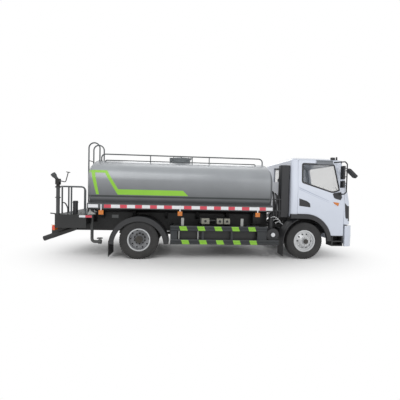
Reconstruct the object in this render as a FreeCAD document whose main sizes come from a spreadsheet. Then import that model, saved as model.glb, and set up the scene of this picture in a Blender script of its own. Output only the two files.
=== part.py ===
import FreeCAD, Part
import math
import operator
import os

import Sketcher
from FreeCAD import Placement, Rotation, Vector

# A two-axle cab-over water tanker: +X is forward, +Y is the truck's left, +Z is up.
# The origin is on the ground under the middle of the truck's length.

SIZES = (
    # wheels and axles
    ("rear_axle_x", -1745, "rear axle from the middle of the truck's length"),
    ("wheelbase", 4500, "rear axle to front axle"),
    ("tyre_radius", 506, "outside of a tyre"),
    ("tyre_width", 276, "widest part of a tyre"),
    ("tread_width", 220, "flat tread of a tyre"),
    ("bulge_radius", 425, "where a tyre is widest"),
    ("bead_radius", 286, "where a tyre sits on its rim"),
    ("bead_width", 212, "tyre at its beads"),
    ("rim_lip", 14, "rim edge above the bead seat"),
    ("lip_flare", 4, "lean of a rim edge with the tyre's side"),
    ("hand_hole", 22, "round hand hole in a wheel disc"),
    ("front_wheel_y", 1000, "middle of a front tyre from the centre plane"),
    ("rear_wheel_y", 1085, "middle of an outer rear tyre from the centre plane"),
    ("twin_spacing", 310, "outer to inner rear tyre"),
    ("king_pin_y", 880, "king pin from the centre plane"),
    ("axle_tube_radius", 72, "rear axle tube"),
    ("banjo_radius", 205, "rear axle drive housing"),
    ("hub_radius", 96, "hub barrel"),
    ("spindle_radius", 42, "front spindle"),
    ("turning_gap", 0.5, "clearance round a shaft that turns"),
    ("drum_radius", 205, "brake drum"),
    ("spring_width", 72, "leaf spring"),
    ("spring_depth", 62, "leaf spring pack"),
    ("spring_chord", 1320, "leaf spring between its eyes"),
    ("spring_camber", 70, "rise of a leaf spring to its eyes"),
    # chassis
    ("frame_width", 860, "outside of the two side rails"),
    ("frame_height", 240, "side rail"),
    ("frame_flange", 70, "side rail flange"),
    ("frame_wall", 8, "side rail wall"),
    ("frame_top", 880, "top of the side rails above the ground"),
    ("frame_rear_x", -3640, "rear end of the side rails"),
    ("frame_front_x", 4050, "front end of the side rails"),
    ("cross_width", 60, "cross member along the truck"),
    ("cross_height", 120, "cross member"),
    ("cross_drop", 20, "top of the side rails to the top of a cross member"),
    ("engine_x", 2800, "rear end of the engine"),
    ("engine_length", 960, "engine"),
    ("engine_width", 640, "engine"),
    ("engine_bottom", 575, "underside of the engine"),
    ("engine_height", 560, "engine"),
    ("shaft_radius", 45, "propeller shaft"),
    ("fuel_radius", 270, "fuel tank"),
    ("fuel_length", 1150, "fuel tank"),
    ("fuel_x", 250, "rear end of the fuel tank"),
    ("fuel_y", 860, "middle of the fuel tank from the centre plane"),
    ("fuel_z", 575, "middle of the fuel tank above the ground"),
    ("locker_rear_x", -800, "rear end of the battery and tool locker"),
    ("locker_length", 2100, "battery and tool locker"),
    ("locker_outer_y", 1100, "outer face of the locker from the centre plane"),
    ("locker_gap", 70, "locker from the outer face of the side rail"),
    ("locker_bottom", 425, "underside of the locker above the ground"),
    ("locker_height", 360, "battery and tool locker"),
    # tank
    ("tank_rear_x", -3075, "rear end of the tank"),
    ("tank_length", 4880, "tank over its heads"),
    ("tank_width", 2370, "tank at its widest"),
    ("tank_bottom", 1120, "underside of the tank"),
    ("tank_height", 1530, "tank section"),
    ("tank_side_radius", 2600, "curve of the tank's sides"),
    ("tank_top_radius", 2300, "curve of the tank's top and bottom"),
    ("tank_corner_radius", 480, "curve between side and top"),
    ("tank_head_round", 70, "rounded edge of a tank head"),
    ("ledge_half_width", 1250, "outer face of the side ledges from the centre plane"),
    ("ledge_bottom", 1310, "underside of the side ledges"),
    ("ledge_height", 130, "outer face of a side ledge"),
    ("ledge_short", 20, "side ledge behind the tank's front head"),
    ("saddle_thickness", 90, "tank saddle along the truck"),
    ("saddle_half_width", 610, "tank saddle from the centre plane"),
    ("sill_height", 120, "long sill between side rail and saddles"),
    ("manhole_x", -676, "middle of the manhole"),
    ("manhole_radius", 280, "manhole neck"),
    ("manhole_wall", 14, "manhole neck wall"),
    ("manhole_height", 110, "manhole neck above the tank"),
    ("manhole_depth", 260, "manhole mouth down into the tank"),
    ("lid_thickness", 26, "manhole lid"),
    ("lid_lap", 16, "manhole lid past its neck"),
    ("seat_gap", 0.3, "between a lid or shell and its seat"),
    # rails on the tank and ladder
    ("rail_radius", 17, "handrail tube"),
    ("handrail_y", 450, "handrail from the centre plane"),
    ("handrail_rise", 162, "top of the handrail above the tank"),
    ("handrail_rear_x", -2911, "rear end of the handrail"),
    ("handrail_front_x", 1701, "front end of the handrail"),
    ("coaming_y", 600, "low top rail from the centre plane"),
    ("coaming_gap", 42, "low top rail above the tank"),
    ("ladder_y", 375, "middle of the ladder from the centre plane"),
    ("ladder_width", 450, "ladder stiles"),
    ("ladder_rise", 445, "top of the ladder hoops above the tank"),
    ("ladder_gap", 140, "ladder stile behind the tank"),
    ("hoop_width", 295, "ladder hoop along the truck"),
    ("rung_pitch", 290, "ladder rungs"),
    ("stile_radius", 18, "ladder stile tube"),
    ("rung_radius", 12, "ladder rung"),
    # rear platform
    ("platform_rear_x", -3860, "rear edge of the platform"),
    ("platform_front_x", -3086, "front edge of the platform"),
    ("platform_half_width", 1200, "platform from the centre plane"),
    ("platform_top", 1140, "platform floor above the ground"),
    ("plate_wall", 8, "folded plate"),
    ("floor_wall", 20, "platform floor"),
    ("skirt_bottom", 800, "underside of the platform skirt above the ground"),
    ("railing_top", 1875, "platform railing above the ground"),
    ("railing_radius", 20, "platform railing tube"),
    ("railing_inset", 42, "railing from the platform's edge"),
    ("railing_bend", 110, "bend of the platform railing"),
    ("railing_cut_x", 200, "cut corner of the railing, along the truck"),
    ("railing_cut_y", 228, "cut corner of the railing, across the truck"),
    ("back_railing_y", 950, "left end of the back railing from the centre plane"),
    ("riser_radius", 44, "water cannon pipe"),
    ("riser_x", -3812, "water cannon pipe"),
    ("riser_y", 1130, "water cannon pipe from the centre plane"),
    ("riser_top", 1840, "top flange of the water cannon pipe above the ground"),
    ("cannon_height", 165, "water cannon's turning base"),
    ("cannon_radius", 40, "water cannon barrel"),
    ("cannon_length", 215, "water cannon barrel from its pivot"),
    ("cannon_raise", 52, "water cannon barrel above level, degrees"),
    ("sprinkler_y", 900, "rear sprinkler pipe from the centre plane"),
    ("sprinkler_radius", 68, "rear sprinkler pipe"),
    ("spigot_radius", 65, "turned-down end of the sprinkler pipe"),
    ("spigot_length", 200, "turned-down end of the sprinkler pipe"),
    ("sprinkler_tip_x", -4250, "tip of the rear sprinkler"),
    ("sprinkler_tip_z", 470, "tip of the rear sprinkler above the ground"),
    ("sprinkler_root_x", -3420, "root of the rear sprinkler"),
    ("wedge_rear_x", -4040, "rear edge of the sprinkler bracket"),
    ("sprinkler_root_z", 780, "root of the rear sprinkler above the ground"),
    # side guards, mudguards and pipes
    ("guard_rear_x", -930, "rear end of the side guards"),
    ("guard_front_x", 1660, "front end of the upper guard rail"),
    ("guard_nose_x", 1990, "front end of the lower guard rail"),
    ("guard_face_y", 1240, "outer face of the side guards from the centre plane"),
    ("guard_depth", 34, "guard rail channel"),
    ("guard_upper_z", 765, "underside of the upper guard rail"),
    ("guard_lower_z", 405, "underside of the lower guard rail"),
    ("guard_rail_height", 130, "guard rail"),
    ("guard_bearer_z", 190, "guard bearers above the underside of the side rails"),
    ("fender_centre_z", 345, "centre of the rear mudguards' arc above the ground"),
    ("fender_radius", 775, "outside of the rear mudguards"),
    ("fender_lip", 128, "side lip of the rear mudguards"),
    ("fender_inner_y", 630, "inner edge of the rear mudguards"),
    ("fender_outer_y", 1245, "outer edge of the rear mudguards"),
    ("fender_wall", 9, "mudguard wall"),
    ("flap_bottom", 68, "lower edge of the rear mud flaps above the ground"),
    ("front_flap_bottom", 105, "lower edge of the front mud flaps above the ground"),
    ("front_guard_radius", 645, "outside of the front mudguards"),
    ("drain_x", -3020, "drain pipe"),
    ("drain_y", 900, "drain pipe from the centre plane"),
    ("drain_radius", 40, "drain pipe"),
    ("filter_x", 1852, "air filter"),
    ("filter_z", 670, "air filter above the ground"),
    ("filter_radius", 170, "air filter"),
    ("intake_x", 2072, "rear face of the intake duct"),
    ("intake_depth", 248, "intake duct along the truck"),
    ("intake_width", 250, "intake duct across the truck"),
    ("intake_y", 930, "middle of the intake duct from the centre plane"),
    ("intake_top", 2581, "top of the intake duct above the ground"),
    # cab
    ("cab_rear_x", 2330, "cab back wall"),
    ("cab_front_x", 4105, "cab front at the grille"),
    ("cab_half_width", 1150, "cab side from the centre plane"),
    ("cab_wall", 55, "cab wall"),
    ("cab_roof", 2850, "crown of the cab roof above the ground"),
    ("cab_eave", 2770, "roof edge above the doors"),
    ("cab_floor", 1180, "underside of the cab floor above the ground"),
    ("cab_floor_wall", 50, "cab floor"),
    ("cab_lip", 985, "lower edge of the cab's front panel above the ground"),
    ("cab_belt", 1600, "where the cab front starts to lean back"),
    ("cab_front_lean", 205, "lean of the cab front for each metre of height"),
    ("cab_side_lean", 70, "lean of the cab side for each metre above the waist"),
    ("cab_waist", 1900, "where the cab side starts to lean in"),
    ("cab_corner_radius", 120, "front corners of the cab in plan"),
    ("cab_back_radius", 70, "rear corners of the cab in plan"),
    ("cab_bow", 45, "bow of the cab front between its corners"),
    ("pivot_x", 4005, "cab tilt pivot"),
    ("pivot_z", 1140, "cab tilt pivot above the ground"),
    ("pivot_radius", 20, "cab tilt pivot shaft"),
    ("arch_radius", 750, "door's lower edge round the front wheel"),
    ("trim_outer_radius", 742, "outside of the arch trim"),
    ("trim_inner_radius", 622, "inside of the arch trim"),
    ("trim_proud", 24, "arch trim past the cab side"),
    ("door_rear_x", 2515, "rear edge of a door"),
    ("door_front_x", 3840, "front edge of a door"),
    ("door_top", 2735, "top of a door above the ground"),
    ("door_bottom", 668, "lower edge of a door above the ground"),
    ("door_gap", 6, "between a door and the cab"),
    ("glass_wall", 8, "window glass"),
    ("glass_inset", 18, "window glass behind the outer skin"),
    ("bumper_top", 945, "top of the bumper above the ground"),
    ("bumper_bottom", 376, "underside of the bumper above the ground"),
    ("bumper_rear_x", 3875, "rear ends of the bumper"),
    ("bumper_front_x", 4255, "bumper's foremost line"),
    ("bumper_wall", 60, "bumper wall"),
    ("bumper_bow", 180, "bumper's corners behind its foremost line"),
    ("lens_proud", 6, "headlamp glass past the bumper"),
    ("step_rear_x", 3520, "rear face of the entry step"),
    ("step_bottom", 376, "underside of the entry step above the ground"),
    ("step_top", 656, "top of the entry step above the ground"),
    ("mirror_y", 1350, "mirror arm from the centre plane"),
    ("mirror_x", 3765, "mirror arm"),
    ("mirror_top", 2692, "top of the mirror arm above the ground"),
    ("mirror_bottom", 1822, "lower end of the mirror arm above the ground"),
)

doc = FreeCAD.newDocument("Tanker")
sheet = doc.addObject("Spreadsheet::Sheet", "Sizes")


class Length:
    """A size as a number and as the sheet formula that gives it."""

    def __init__(self, number, formula):
        self.number = float(number)
        self.formula = formula

    def __float__(self):
        return self.number

    def __neg__(self):
        return Length(-self.number, f"(-1 * {self.formula})")

    def __add__(self, other):
        return joined(self, "+", other)

    def __radd__(self, other):
        return joined(other, "+", self)

    def __sub__(self, other):
        return joined(self, "-", other)

    def __rsub__(self, other):
        return joined(other, "-", self)

    def __mul__(self, other):
        return joined(self, "*", other)

    def __rmul__(self, other):
        return joined(other, "*", self)

    def __truediv__(self, other):
        return joined(self, "/", other)


OPERATIONS = {"+": operator.add, "-": operator.sub, "*": operator.mul, "/": operator.truediv}


def formula_of(value):
    """The text of a value in a formula."""
    if isinstance(value, Length):
        return value.formula
    return f"({float(value):.6f})"


def joined(left, sign, right):
    """Two values joined into a new length."""
    number = OPERATIONS[sign](float(left), float(right))
    return Length(number, f"({formula_of(left)} {sign} {formula_of(right)})")


class Sizes:
    """The named sizes of the sheet."""


size = Sizes()
for row, (alias, value, meaning) in enumerate(SIZES, 1):
    sheet.set(f"A{row}", meaning)
    sheet.set(f"B{row}", str(value))
    sheet.setAlias(f"B{row}", alias)
    setattr(size, alias, Length(value, f"Sizes.{alias}"))
doc.recompute()

front_axle_x = size.rear_axle_x + size.wheelbase
rail_inner_y = size.frame_width / 2 - size.frame_wall
rail_flange_y = size.frame_width / 2 - size.frame_flange
frame_bottom = size.frame_top - size.frame_height
tank_front_x = size.tank_rear_x + size.tank_length
tank_middle_z = size.tank_bottom + size.tank_height / 2
tank_top = size.tank_bottom + size.tank_height
ACROSS = Rotation(Vector(1, 0, 0), -90)
ALONG = Rotation(Vector(0, 1, 0), 90)
UPRIGHT = Rotation()
TURNS = {"x": ALONG, "y": ACROSS, "z": UPRIGHT}


def bind(thing, path, value):
    """Sets a property, through the sheet where the value comes from it."""
    if isinstance(value, Length):
        thing.setExpression(path, value.formula)
    elif path.startswith("Constraints"):
        return
    else:
        setattr(thing, path, float(value))


def place(thing, x=0, y=0, z=0, turn=UPRIGHT):
    """Puts a piece at a point."""
    thing.Placement = Placement(Vector(float(x), float(y), float(z)), turn)
    for axis, value in zip("xyz", (x, y, z)):
        if isinstance(value, Length):
            thing.setExpression(f"Placement.Base.{axis}", value.formula)
    return thing


def box(name, x0, x1, y0, y1, z0, z1):
    """A block between two values on each axis."""
    block = doc.addObject("Part::Box", name)
    bind(block, "Length", x1 - x0)
    bind(block, "Width", y1 - y0)
    bind(block, "Height", z1 - z0)
    return place(block, x0, y0, z0)


def rod(name, radius, start, length, axis="z"):
    """A cylinder that runs from a point along an axis."""
    cylinder = doc.addObject("Part::Cylinder", name)
    bind(cylinder, "Radius", radius)
    bind(cylinder, "Height", length)
    return place(cylinder, *start, TURNS[axis])


def fuse(name, pieces):
    """Pieces joined into one solid."""
    fusion = doc.addObject("Part::MultiFuse", name)
    fusion.Shapes = pieces
    return fusion


def group(name, pieces):
    """Like pieces that share a node without touching."""
    compound = doc.addObject("Part::Compound", name)
    compound.Links = pieces
    return compound


def cut(name, base, tool):
    """One piece with another taken out of it."""
    difference = doc.addObject("Part::Cut", name)
    difference.Base = base
    difference.Tool = tool
    return difference


def mirrored(name, source):
    """The same piece on the other side of the truck."""
    copy = doc.addObject("Part::Mirroring", name)
    copy.Source = source
    copy.Base = Vector(0, 0, 0)
    copy.Normal = Vector(0, 1, 0)
    return copy


def pair(name, source):
    """A piece and its twin on the other side."""
    return group(name, [source, mirrored(name + "_twin", source)])


def free_shape(name, shape):
    """A piece whose shape is worked out with geometry functions."""
    feature = doc.addObject("Part::Feature", name)
    feature.Shape = shape
    return feature


PLANES = {"xy": ("XY_Plane", 1), "xz": ("XZ_Plane", -1), "yz": ("YZ_Plane", 1)}


def sketch_in(body, name, plane, start=0):
    """An empty sketch parallel to an origin plane."""
    role, sign = PLANES[plane]
    sketch = body.newObject("Sketcher::SketchObject", name)
    support = next(item for item in body.Origin.OriginFeatures if item.Role == role)
    sketch.AttachmentSupport = (support, [""])
    sketch.MapMode = "FlatFace"
    sketch.AttachmentOffset = Placement(Vector(0, 0, sign * float(start)), UPRIGHT)
    if isinstance(start, Length):
        sketch.setExpression("AttachmentOffset.Base.z", (sign * start).formula)
    return sketch


def constrain(sketch, rules):
    """Adds constraints; a rule that ends in a length is bound to the sheet."""
    for kind, *where, value in rules:
        if value is None:
            sketch.addConstraint(Sketcher.Constraint(kind, *where))
            continue
        number = math.radians(float(value)) if kind == "Angle" else float(value)
        index = sketch.addConstraint(Sketcher.Constraint(kind, *where, number))
        bind(sketch, f"Constraints[{index}]", value)


def outline(sketch, corners):
    """A closed outline of straight sides, rounded where a corner has a third value."""
    count = len(corners)
    points = [Vector(float(c[0]), float(c[1]), 0) for c in corners]
    arrive = list(points)
    leave = list(points)
    arcs = {}
    for i, corner in enumerate(corners):
        if len(corner) < 3:
            continue
        back = (points[i - 1] - points[i]).normalize()
        ahead = (points[(i + 1) % count] - points[i]).normalize()
        half = back.getAngle(ahead) / 2
        radius = float(corner[2])
        arrive[i] = points[i] + back * (radius / math.tan(half))
        leave[i] = points[i] + ahead * (radius / math.tan(half))
        middle = points[i] + (back + ahead).normalize() * (radius / math.sin(half))
        left_turn = back.cross(ahead).z < 0
        first, last = (arrive[i], leave[i]) if left_turn else (leave[i], arrive[i])
        angles = [math.atan2(p.y - middle.y, p.x - middle.x) for p in (first, last)]
        circle = Part.Circle(middle, Vector(0, 0, 1), radius)
        arcs[i] = (Part.ArcOfCircle(circle, *angles), left_turn)
    lines = [
        sketch.addGeometry(Part.LineSegment(leave[i], arrive[(i + 1) % count]), False)
        for i in range(count)
    ]
    rules = []
    for i, corner in enumerate(corners):
        before, after = lines[i - 1], lines[i]
        if i in arcs:
            arc = sketch.addGeometry(arcs[i][0], False)
            mark = sketch.addGeometry(Part.Point(points[i]), True)
            near, far = (1, 2) if arcs[i][1] else (2, 1)
            rules += [
                ("Tangent", before, 2, arc, near, None),
                ("Tangent", arc, far, after, 1, None),
                ("Radius", arc, corner[2]),
                ("PointOnObject", mark, 1, before, None),
                ("PointOnObject", mark, 1, after, None),
            ]
            anchor = mark
        else:
            rules.append(("Coincident", before, 2, after, 1, None))
            anchor = after
        rules.append(("DistanceX", -1, 1, anchor, 1, corner[0]))
        rules.append(("DistanceY", -1, 1, anchor, 1, corner[1]))
    constrain(sketch, rules)


def ring_sector(sketch, x, y, inner, outer, first, last):
    """Part of a flat ring between two radii and two angles in degrees."""
    centre = Vector(float(x), float(y), 0)
    span = (math.radians(float(first)), math.radians(float(last)))
    arcs = []
    for radius in (inner, outer):
        circle = Part.Circle(centre, Vector(0, 0, 1), float(radius))
        arcs.append(sketch.addGeometry(Part.ArcOfCircle(circle, *span), False))
    rules = [
        ("Coincident", arcs[0], 3, arcs[1], 3, None),
        ("DistanceX", -1, 1, arcs[0], 3, x),
        ("DistanceY", -1, 1, arcs[0], 3, y),
        ("Radius", arcs[0], inner),
        ("Radius", arcs[1], outer),
    ]
    for end, angle in ((1, first), (2, last)):
        turn = math.radians(float(angle))
        ray = Vector(math.cos(turn), math.sin(turn), 0)
        side = Part.LineSegment(centre + ray * float(inner), centre + ray * float(outer))
        line = sketch.addGeometry(side, False)
        rules += [
            ("Coincident", line, 1, arcs[0], end, None),
            ("Coincident", line, 2, arcs[1], end, None),
            ("PointOnObject", arcs[0], 3, line, None),
            ("Angle", line, angle),
        ]
    constrain(sketch, rules)


def pad(body, sketch, name, plane, length):
    """The sketch pushed out along the plane's positive axis."""
    feature = body.newObject("PartDesign::Pad", name)
    feature.Profile = sketch
    feature.Reversed = plane == "xz"
    bind(feature, "Length", length)
    body.Tip = feature
    sketch.Visibility = False
    return feature


def prism(name, plane, corners, start, length):
    """A body of one outline, from a start along the plane's positive axis."""
    body = doc.addObject("PartDesign::Body", name)
    sketch = sketch_in(body, name + "_outline", plane, start)
    outline(sketch, corners)
    pad(body, sketch, name + "_pad", plane, length)
    return body


def arch(name, x, z, inner, outer, first, last, y, width):
    """A curved strip that stands across the truck."""
    body = doc.addObject("PartDesign::Body", name)
    sketch = sketch_in(body, name + "_outline", "xz", y)
    ring_sector(sketch, x, z, inner, outer, first, last)
    pad(body, sketch, name + "_pad", "xz", width)
    return body


def turned(name, plane, corners, axis):
    """A body turned about the sketch's own level (H) or upright (V) axis."""
    body = doc.addObject("PartDesign::Body", name)
    sketch = sketch_in(body, name + "_outline", plane)
    outline(sketch, corners)
    feature = body.newObject("PartDesign::Revolution", name + "_turn")
    feature.Profile = sketch
    feature.ReferenceAxis = (sketch, [axis + "_Axis"])
    feature.Angle = 360
    body.Tip = feature
    return body


def tube(points, radius, bend):
    """A round bar along straight runs with bends of one radius."""
    corners = [Vector(*(float(value) for value in point)) for point in points]
    edges = []
    last = corners[0]
    for i in range(1, len(corners) - 1):
        back = (corners[i - 1] - corners[i]).normalize()
        ahead = (corners[i + 1] - corners[i]).normalize()
        half = back.getAngle(ahead) / 2
        reach = float(bend) / math.tan(half)
        start = corners[i] + back * reach
        end = corners[i] + ahead * reach
        inward = (back + ahead).normalize()
        middle = corners[i] + inward * (float(bend) / math.sin(half) - float(bend))
        if (start - last).Length > 1e-6:
            edges.append(Part.makeLine(last, start))
        edges.append(Part.Arc(start, middle, end).toShape())
        last = end
    edges.append(Part.makeLine(last, corners[-1]))
    path = Part.Wire(edges)
    direction = edges[0].tangentAt(edges[0].FirstParameter)
    ring = Part.Wire(Part.makeCircle(float(radius), corners[0], direction))
    return path.makePipeShell([ring], True, False)


def bar(start, end, radius):
    """A straight round bar between two points."""
    first = Vector(*(float(value) for value in start))
    run = Vector(*(float(value) for value in end)) - first
    return Part.makeCylinder(float(radius), run.Length, first, run)


def welded(shapes):
    """Free shapes joined into one."""
    return shapes[0].multiFuse(shapes[1:]).removeSplitter()


nodes = {}
hulls = {}


def keep(name, piece):
    """Registers a finished sub-part under its node's name."""
    piece.Label = name
    nodes[name] = piece
    return piece


def chassis_frame():
    """Two channel rails, cross members, cab mounts and the cab's pivot shaft."""
    outer = -size.frame_width / 2
    wall = size.frame_wall
    top = size.frame_top
    channel = [
        (outer, frame_bottom),
        (-rail_flange_y, frame_bottom),
        (-rail_flange_y, frame_bottom + wall),
        (-rail_inner_y, frame_bottom + wall),
        (-rail_inner_y, top - wall),
        (-rail_flange_y, top - wall),
        (-rail_flange_y, top),
        (outer, top),
    ]
    length = size.frame_front_x - size.frame_rear_x
    rail = prism("side_rail", "yz", channel, size.frame_rear_x, length)
    pieces = [rail, mirrored("side_rail_left", rail)]
    members = 6
    first = size.frame_rear_x + size.cross_width
    last = size.engine_x - 300
    for i in range(members):
        x = first + (last - first) * (i / (members - 1))
        pieces.append(
            box(
                f"cross_member_{i}",
                x,
                x + size.cross_width,
                -rail_inner_y,
                rail_inner_y,
                top - size.cross_drop - size.cross_height,
                top - size.cross_drop,
            )
        )
    nose = size.frame_front_x - size.cross_width
    pieces.append(
        box("cross_member_nose", nose, size.frame_front_x, -rail_inner_y, rail_inner_y,
            top - size.cross_drop - size.cross_height, top - size.cross_drop)
    )
    for side, name in ((-1, "right"), (1, "left")):
        inner = side * rail_flange_y
        outside = side * size.frame_width / 2
        low, high = (outside, inner) if side < 0 else (inner, outside)
        pieces.append(
            box(f"pivot_bracket_{name}", size.pivot_x - 55, size.pivot_x, low, high,
                top, size.pivot_z + size.pivot_radius + 14)
        )
        pieces.append(
            box(f"cab_post_{name}", size.cab_rear_x + 60, size.cab_rear_x + 130, low, high,
                top, size.cab_floor - size.seat_gap)
        )
    shaft_y = size.frame_width / 2 + 90
    pieces.append(
        rod("pivot_shaft", size.pivot_radius, (size.pivot_x, -shaft_y, size.pivot_z),
            2 * shaft_y, "y")
    )
    return keep("chassis_frame", fuse("frame", pieces))


def engine_block():
    """The engine as one block at its real place, on mounts inside the rails."""
    half = size.engine_width / 2
    profile = [
        (-half + 130, size.engine_bottom),
        (half - 130, size.engine_bottom),
        (half, size.engine_bottom + 160),
        (half, size.engine_bottom + size.engine_height),
        (-half, size.engine_bottom + size.engine_height),
        (-half, size.engine_bottom + 160),
    ]
    block = prism("engine_body", "yz", profile, size.engine_x, size.engine_length)
    middle = size.engine_x + size.engine_length / 2
    mount = box("engine_mounts", middle - 60, middle + 60, -rail_inner_y, rail_inner_y,
                frame_bottom + 70, frame_bottom + 150)
    return keep("engine_block", fuse("engine", [block, mount]))


def leaf_spring(name, x):
    """One cambered leaf pack under a side rail with its two hangers."""
    chord = float(size.spring_chord)
    camber = float(size.spring_camber)
    radius = (size.spring_chord * size.spring_chord / 4 + camber * camber) / (2 * camber)
    half_angle = math.degrees(math.asin(chord / 2 / float(radius)))
    y = -(size.frame_width / 2 - size.frame_flange / 2) - size.spring_width / 2
    low = frame_bottom - size.spring_camber - size.spring_depth - 12
    strip = arch(name + "_leaves", x, low + radius, radius - size.spring_depth, radius,
                 270 - half_angle, 270 + half_angle, y, size.spring_width)
    pieces = [strip]
    for side in (-1, 1):
        end = x + side * (size.spring_chord / 2 - 45)
        pieces.append(
            box(f"{name}_hanger_{side + 1}", end - 35, end + 35, y, y + size.spring_width,
                low + size.spring_camber, frame_bottom)
        )
    return pieces, low


def front_axle():
    """A drop-forged beam with king pin eyes, hung on two leaf springs."""
    z = size.tyre_radius
    end = size.king_pin_y - 20
    profile = [
        (-end, z - 48),
        (-700, z - 48),
        (-560, z - 118),
        (560, z - 118),
        (700, z - 48),
        (end, z - 48),
        (end, z + 40),
        (660, z + 40),
        (520, z - 34),
        (-520, z - 34),
        (-660, z + 40),
        (-end, z + 40),
    ]
    pieces = [prism("axle_beam", "yz", profile, front_axle_x - 42, 84)]
    springs, low = leaf_spring("front_spring", front_axle_x)
    y = -(size.frame_width / 2 - size.frame_flange / 2) - size.spring_width / 2
    springs.append(
        box("front_spring_seat", front_axle_x - 70, front_axle_x + 70, y,
            y + size.spring_width, z - 60, low + 20)
    )
    springs.append(
        rod("front_eye", 46, (front_axle_x, -size.king_pin_y, z - 48), 88)
    )
    for piece in springs:
        pieces.append(piece)
        pieces.append(mirrored(piece.Name + "_left", piece))
    return keep("front_axle", fuse("front_axle_parts", pieces))


def knuckles():
    """Steering knuckles: a fork over the axle eye and the spindle of the wheel."""
    z = size.tyre_radius
    x = front_axle_x
    eye = -size.king_pin_y
    back = eye - 52
    lower = z - 48 - size.seat_gap
    upper = z + 40 + size.seat_gap
    fork = [
        box("knuckle_web", x - 45, x + 45, back - 34, back, lower - 40, upper + 40),
        box("knuckle_jaw_top", x - 45, x + 45, back, eye + 40, upper, upper + 40),
        box("knuckle_jaw_low", x - 45, x + 45, back, eye + 40, lower - 40, lower),
        box("knuckle_arm", x - 210, x - 45, eye - 20, eye + 30, lower - 40, lower - 10),
        rod("knuckle_spindle", size.spindle_radius, (x, -size.front_wheel_y - 100, z),
            100 + size.front_wheel_y - (-back), "y"),
    ]
    right = keep("knuckle_right", fuse("knuckle_parts", fork))
    keep("knuckle_left", mirrored("knuckle_mirror", right))


def rear_axle():
    """A banjo housing with its tubes, hung on two leaf springs."""
    z = size.tyre_radius
    x = size.rear_axle_x
    reach = size.rear_wheel_y - size.twin_spacing / 2 - 130
    banjo = turned(
        "banjo",
        "yz",
        [
            (-260, 0),
            (260, 0),
            (260, size.axle_tube_radius),
            (115, size.banjo_radius),
            (-115, size.banjo_radius),
            (-260, size.axle_tube_radius),
        ],
        "H",
    )
    place(banjo, x, 0, z)
    pieces = [
        banjo,
        rod("axle_tube", size.axle_tube_radius, (x, -reach, z), 2 * reach, "y"),
        rod("axle_shafts", size.spindle_radius, (x, -size.rear_wheel_y, z),
            2 * size.rear_wheel_y, "y"),
        rod("drive_nose", 70, (x, 0, z), size.banjo_radius + 95, "x"),
    ]
    springs, low = leaf_spring("rear_spring", x)
    y = -(size.frame_width / 2 - size.frame_flange / 2) - size.spring_width / 2
    springs.append(
        box("rear_spring_seat", x - 75, x + 75, y, y + size.spring_width, z - 95, low + 20)
    )
    for piece in springs:
        pieces.append(piece)
        pieces.append(mirrored(piece.Name + "_left", piece))
    return keep("rear_axle", fuse("rear_axle_parts", pieces))


def propeller_shaft():
    """The shaft from the gearbox to the rear axle, with a flange at each end."""
    start = Vector(float(size.rear_axle_x + size.banjo_radius + 95), 0, float(size.tyre_radius))
    end = Vector(float(size.engine_x), 0, float(size.engine_bottom) + 120)
    shapes = [bar(start, end, size.shaft_radius)]
    run = (end - start).normalize()
    for point, way in ((start, run), (end, run * -1)):
        shapes.append(Part.makeCylinder(75, 28, point, way))
    shaft = welded(shapes)
    trim = Part.makeBox(200, 400, 400, Vector(end.x, -200, end.z - 200))
    trim_rear = Part.makeBox(200, 400, 400, Vector(start.x - 200, -200, start.z - 200))
    return keep("propeller_shaft", free_shape("drive_shaft", shaft.cut(trim).cut(trim_rear)))


def tyre(name, x, y_centres):
    """A tyre for each centre, turned from one section."""
    half = size.tyre_width / 2
    tread = size.tread_width / 2
    bead = size.bead_width / 2
    section = [
        (-bead, size.bead_radius),
        (bead, size.bead_radius),
        (half, size.bulge_radius),
        (tread, size.tyre_radius),
        (-tread, size.tyre_radius),
        (-half, size.bulge_radius),
    ]
    solids = []
    for i, y in enumerate(y_centres):
        body = turned(f"{name}_{i}", "yz", section, "H")
        solids.append(place(body, x, y, size.tyre_radius))
    if len(solids) == 1:
        return keep(name, solids[0])
    return keep(name, group(name + "_pair", solids))


def front_rim(name, side):
    """A front disc wheel: rim well, domed disc, hub and brake drum in one turned body."""
    well = size.bead_radius - size.seat_gap
    lip = size.bead_radius + size.rim_lip
    edge = size.bead_width / 2
    bore = size.spindle_radius + size.turning_gap
    section = [
        (-edge - 12, well - 14),
        (-edge - 12, lip),
        (-edge - size.lip_flare, lip),
        (-edge - size.seat_gap, well),
        (edge + size.seat_gap, well),
        (edge + size.lip_flare, lip),
        (edge + 12, lip),
        (edge + 12, well - 22),
        (edge - 20, well - 30),
        (edge - 20, well - 66),
        (edge + 48, size.hub_radius + 40),
        (edge + 48, size.hub_radius - 10),
        (edge + 96, size.hub_radius - 22),
        (edge + 96, 0),
        (edge + 30, 0),
        (edge + 30, bore),
        (-20, bore),
        (-20, size.hub_radius),
        (edge + 20, size.hub_radius),
        (edge - 44, well - 60),
        (edge - 44, well - 14),
    ]
    holes = (190, 30, 130)
    return rim_body(name, section, holes, front_axle_x, side, size.front_wheel_y)


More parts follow.
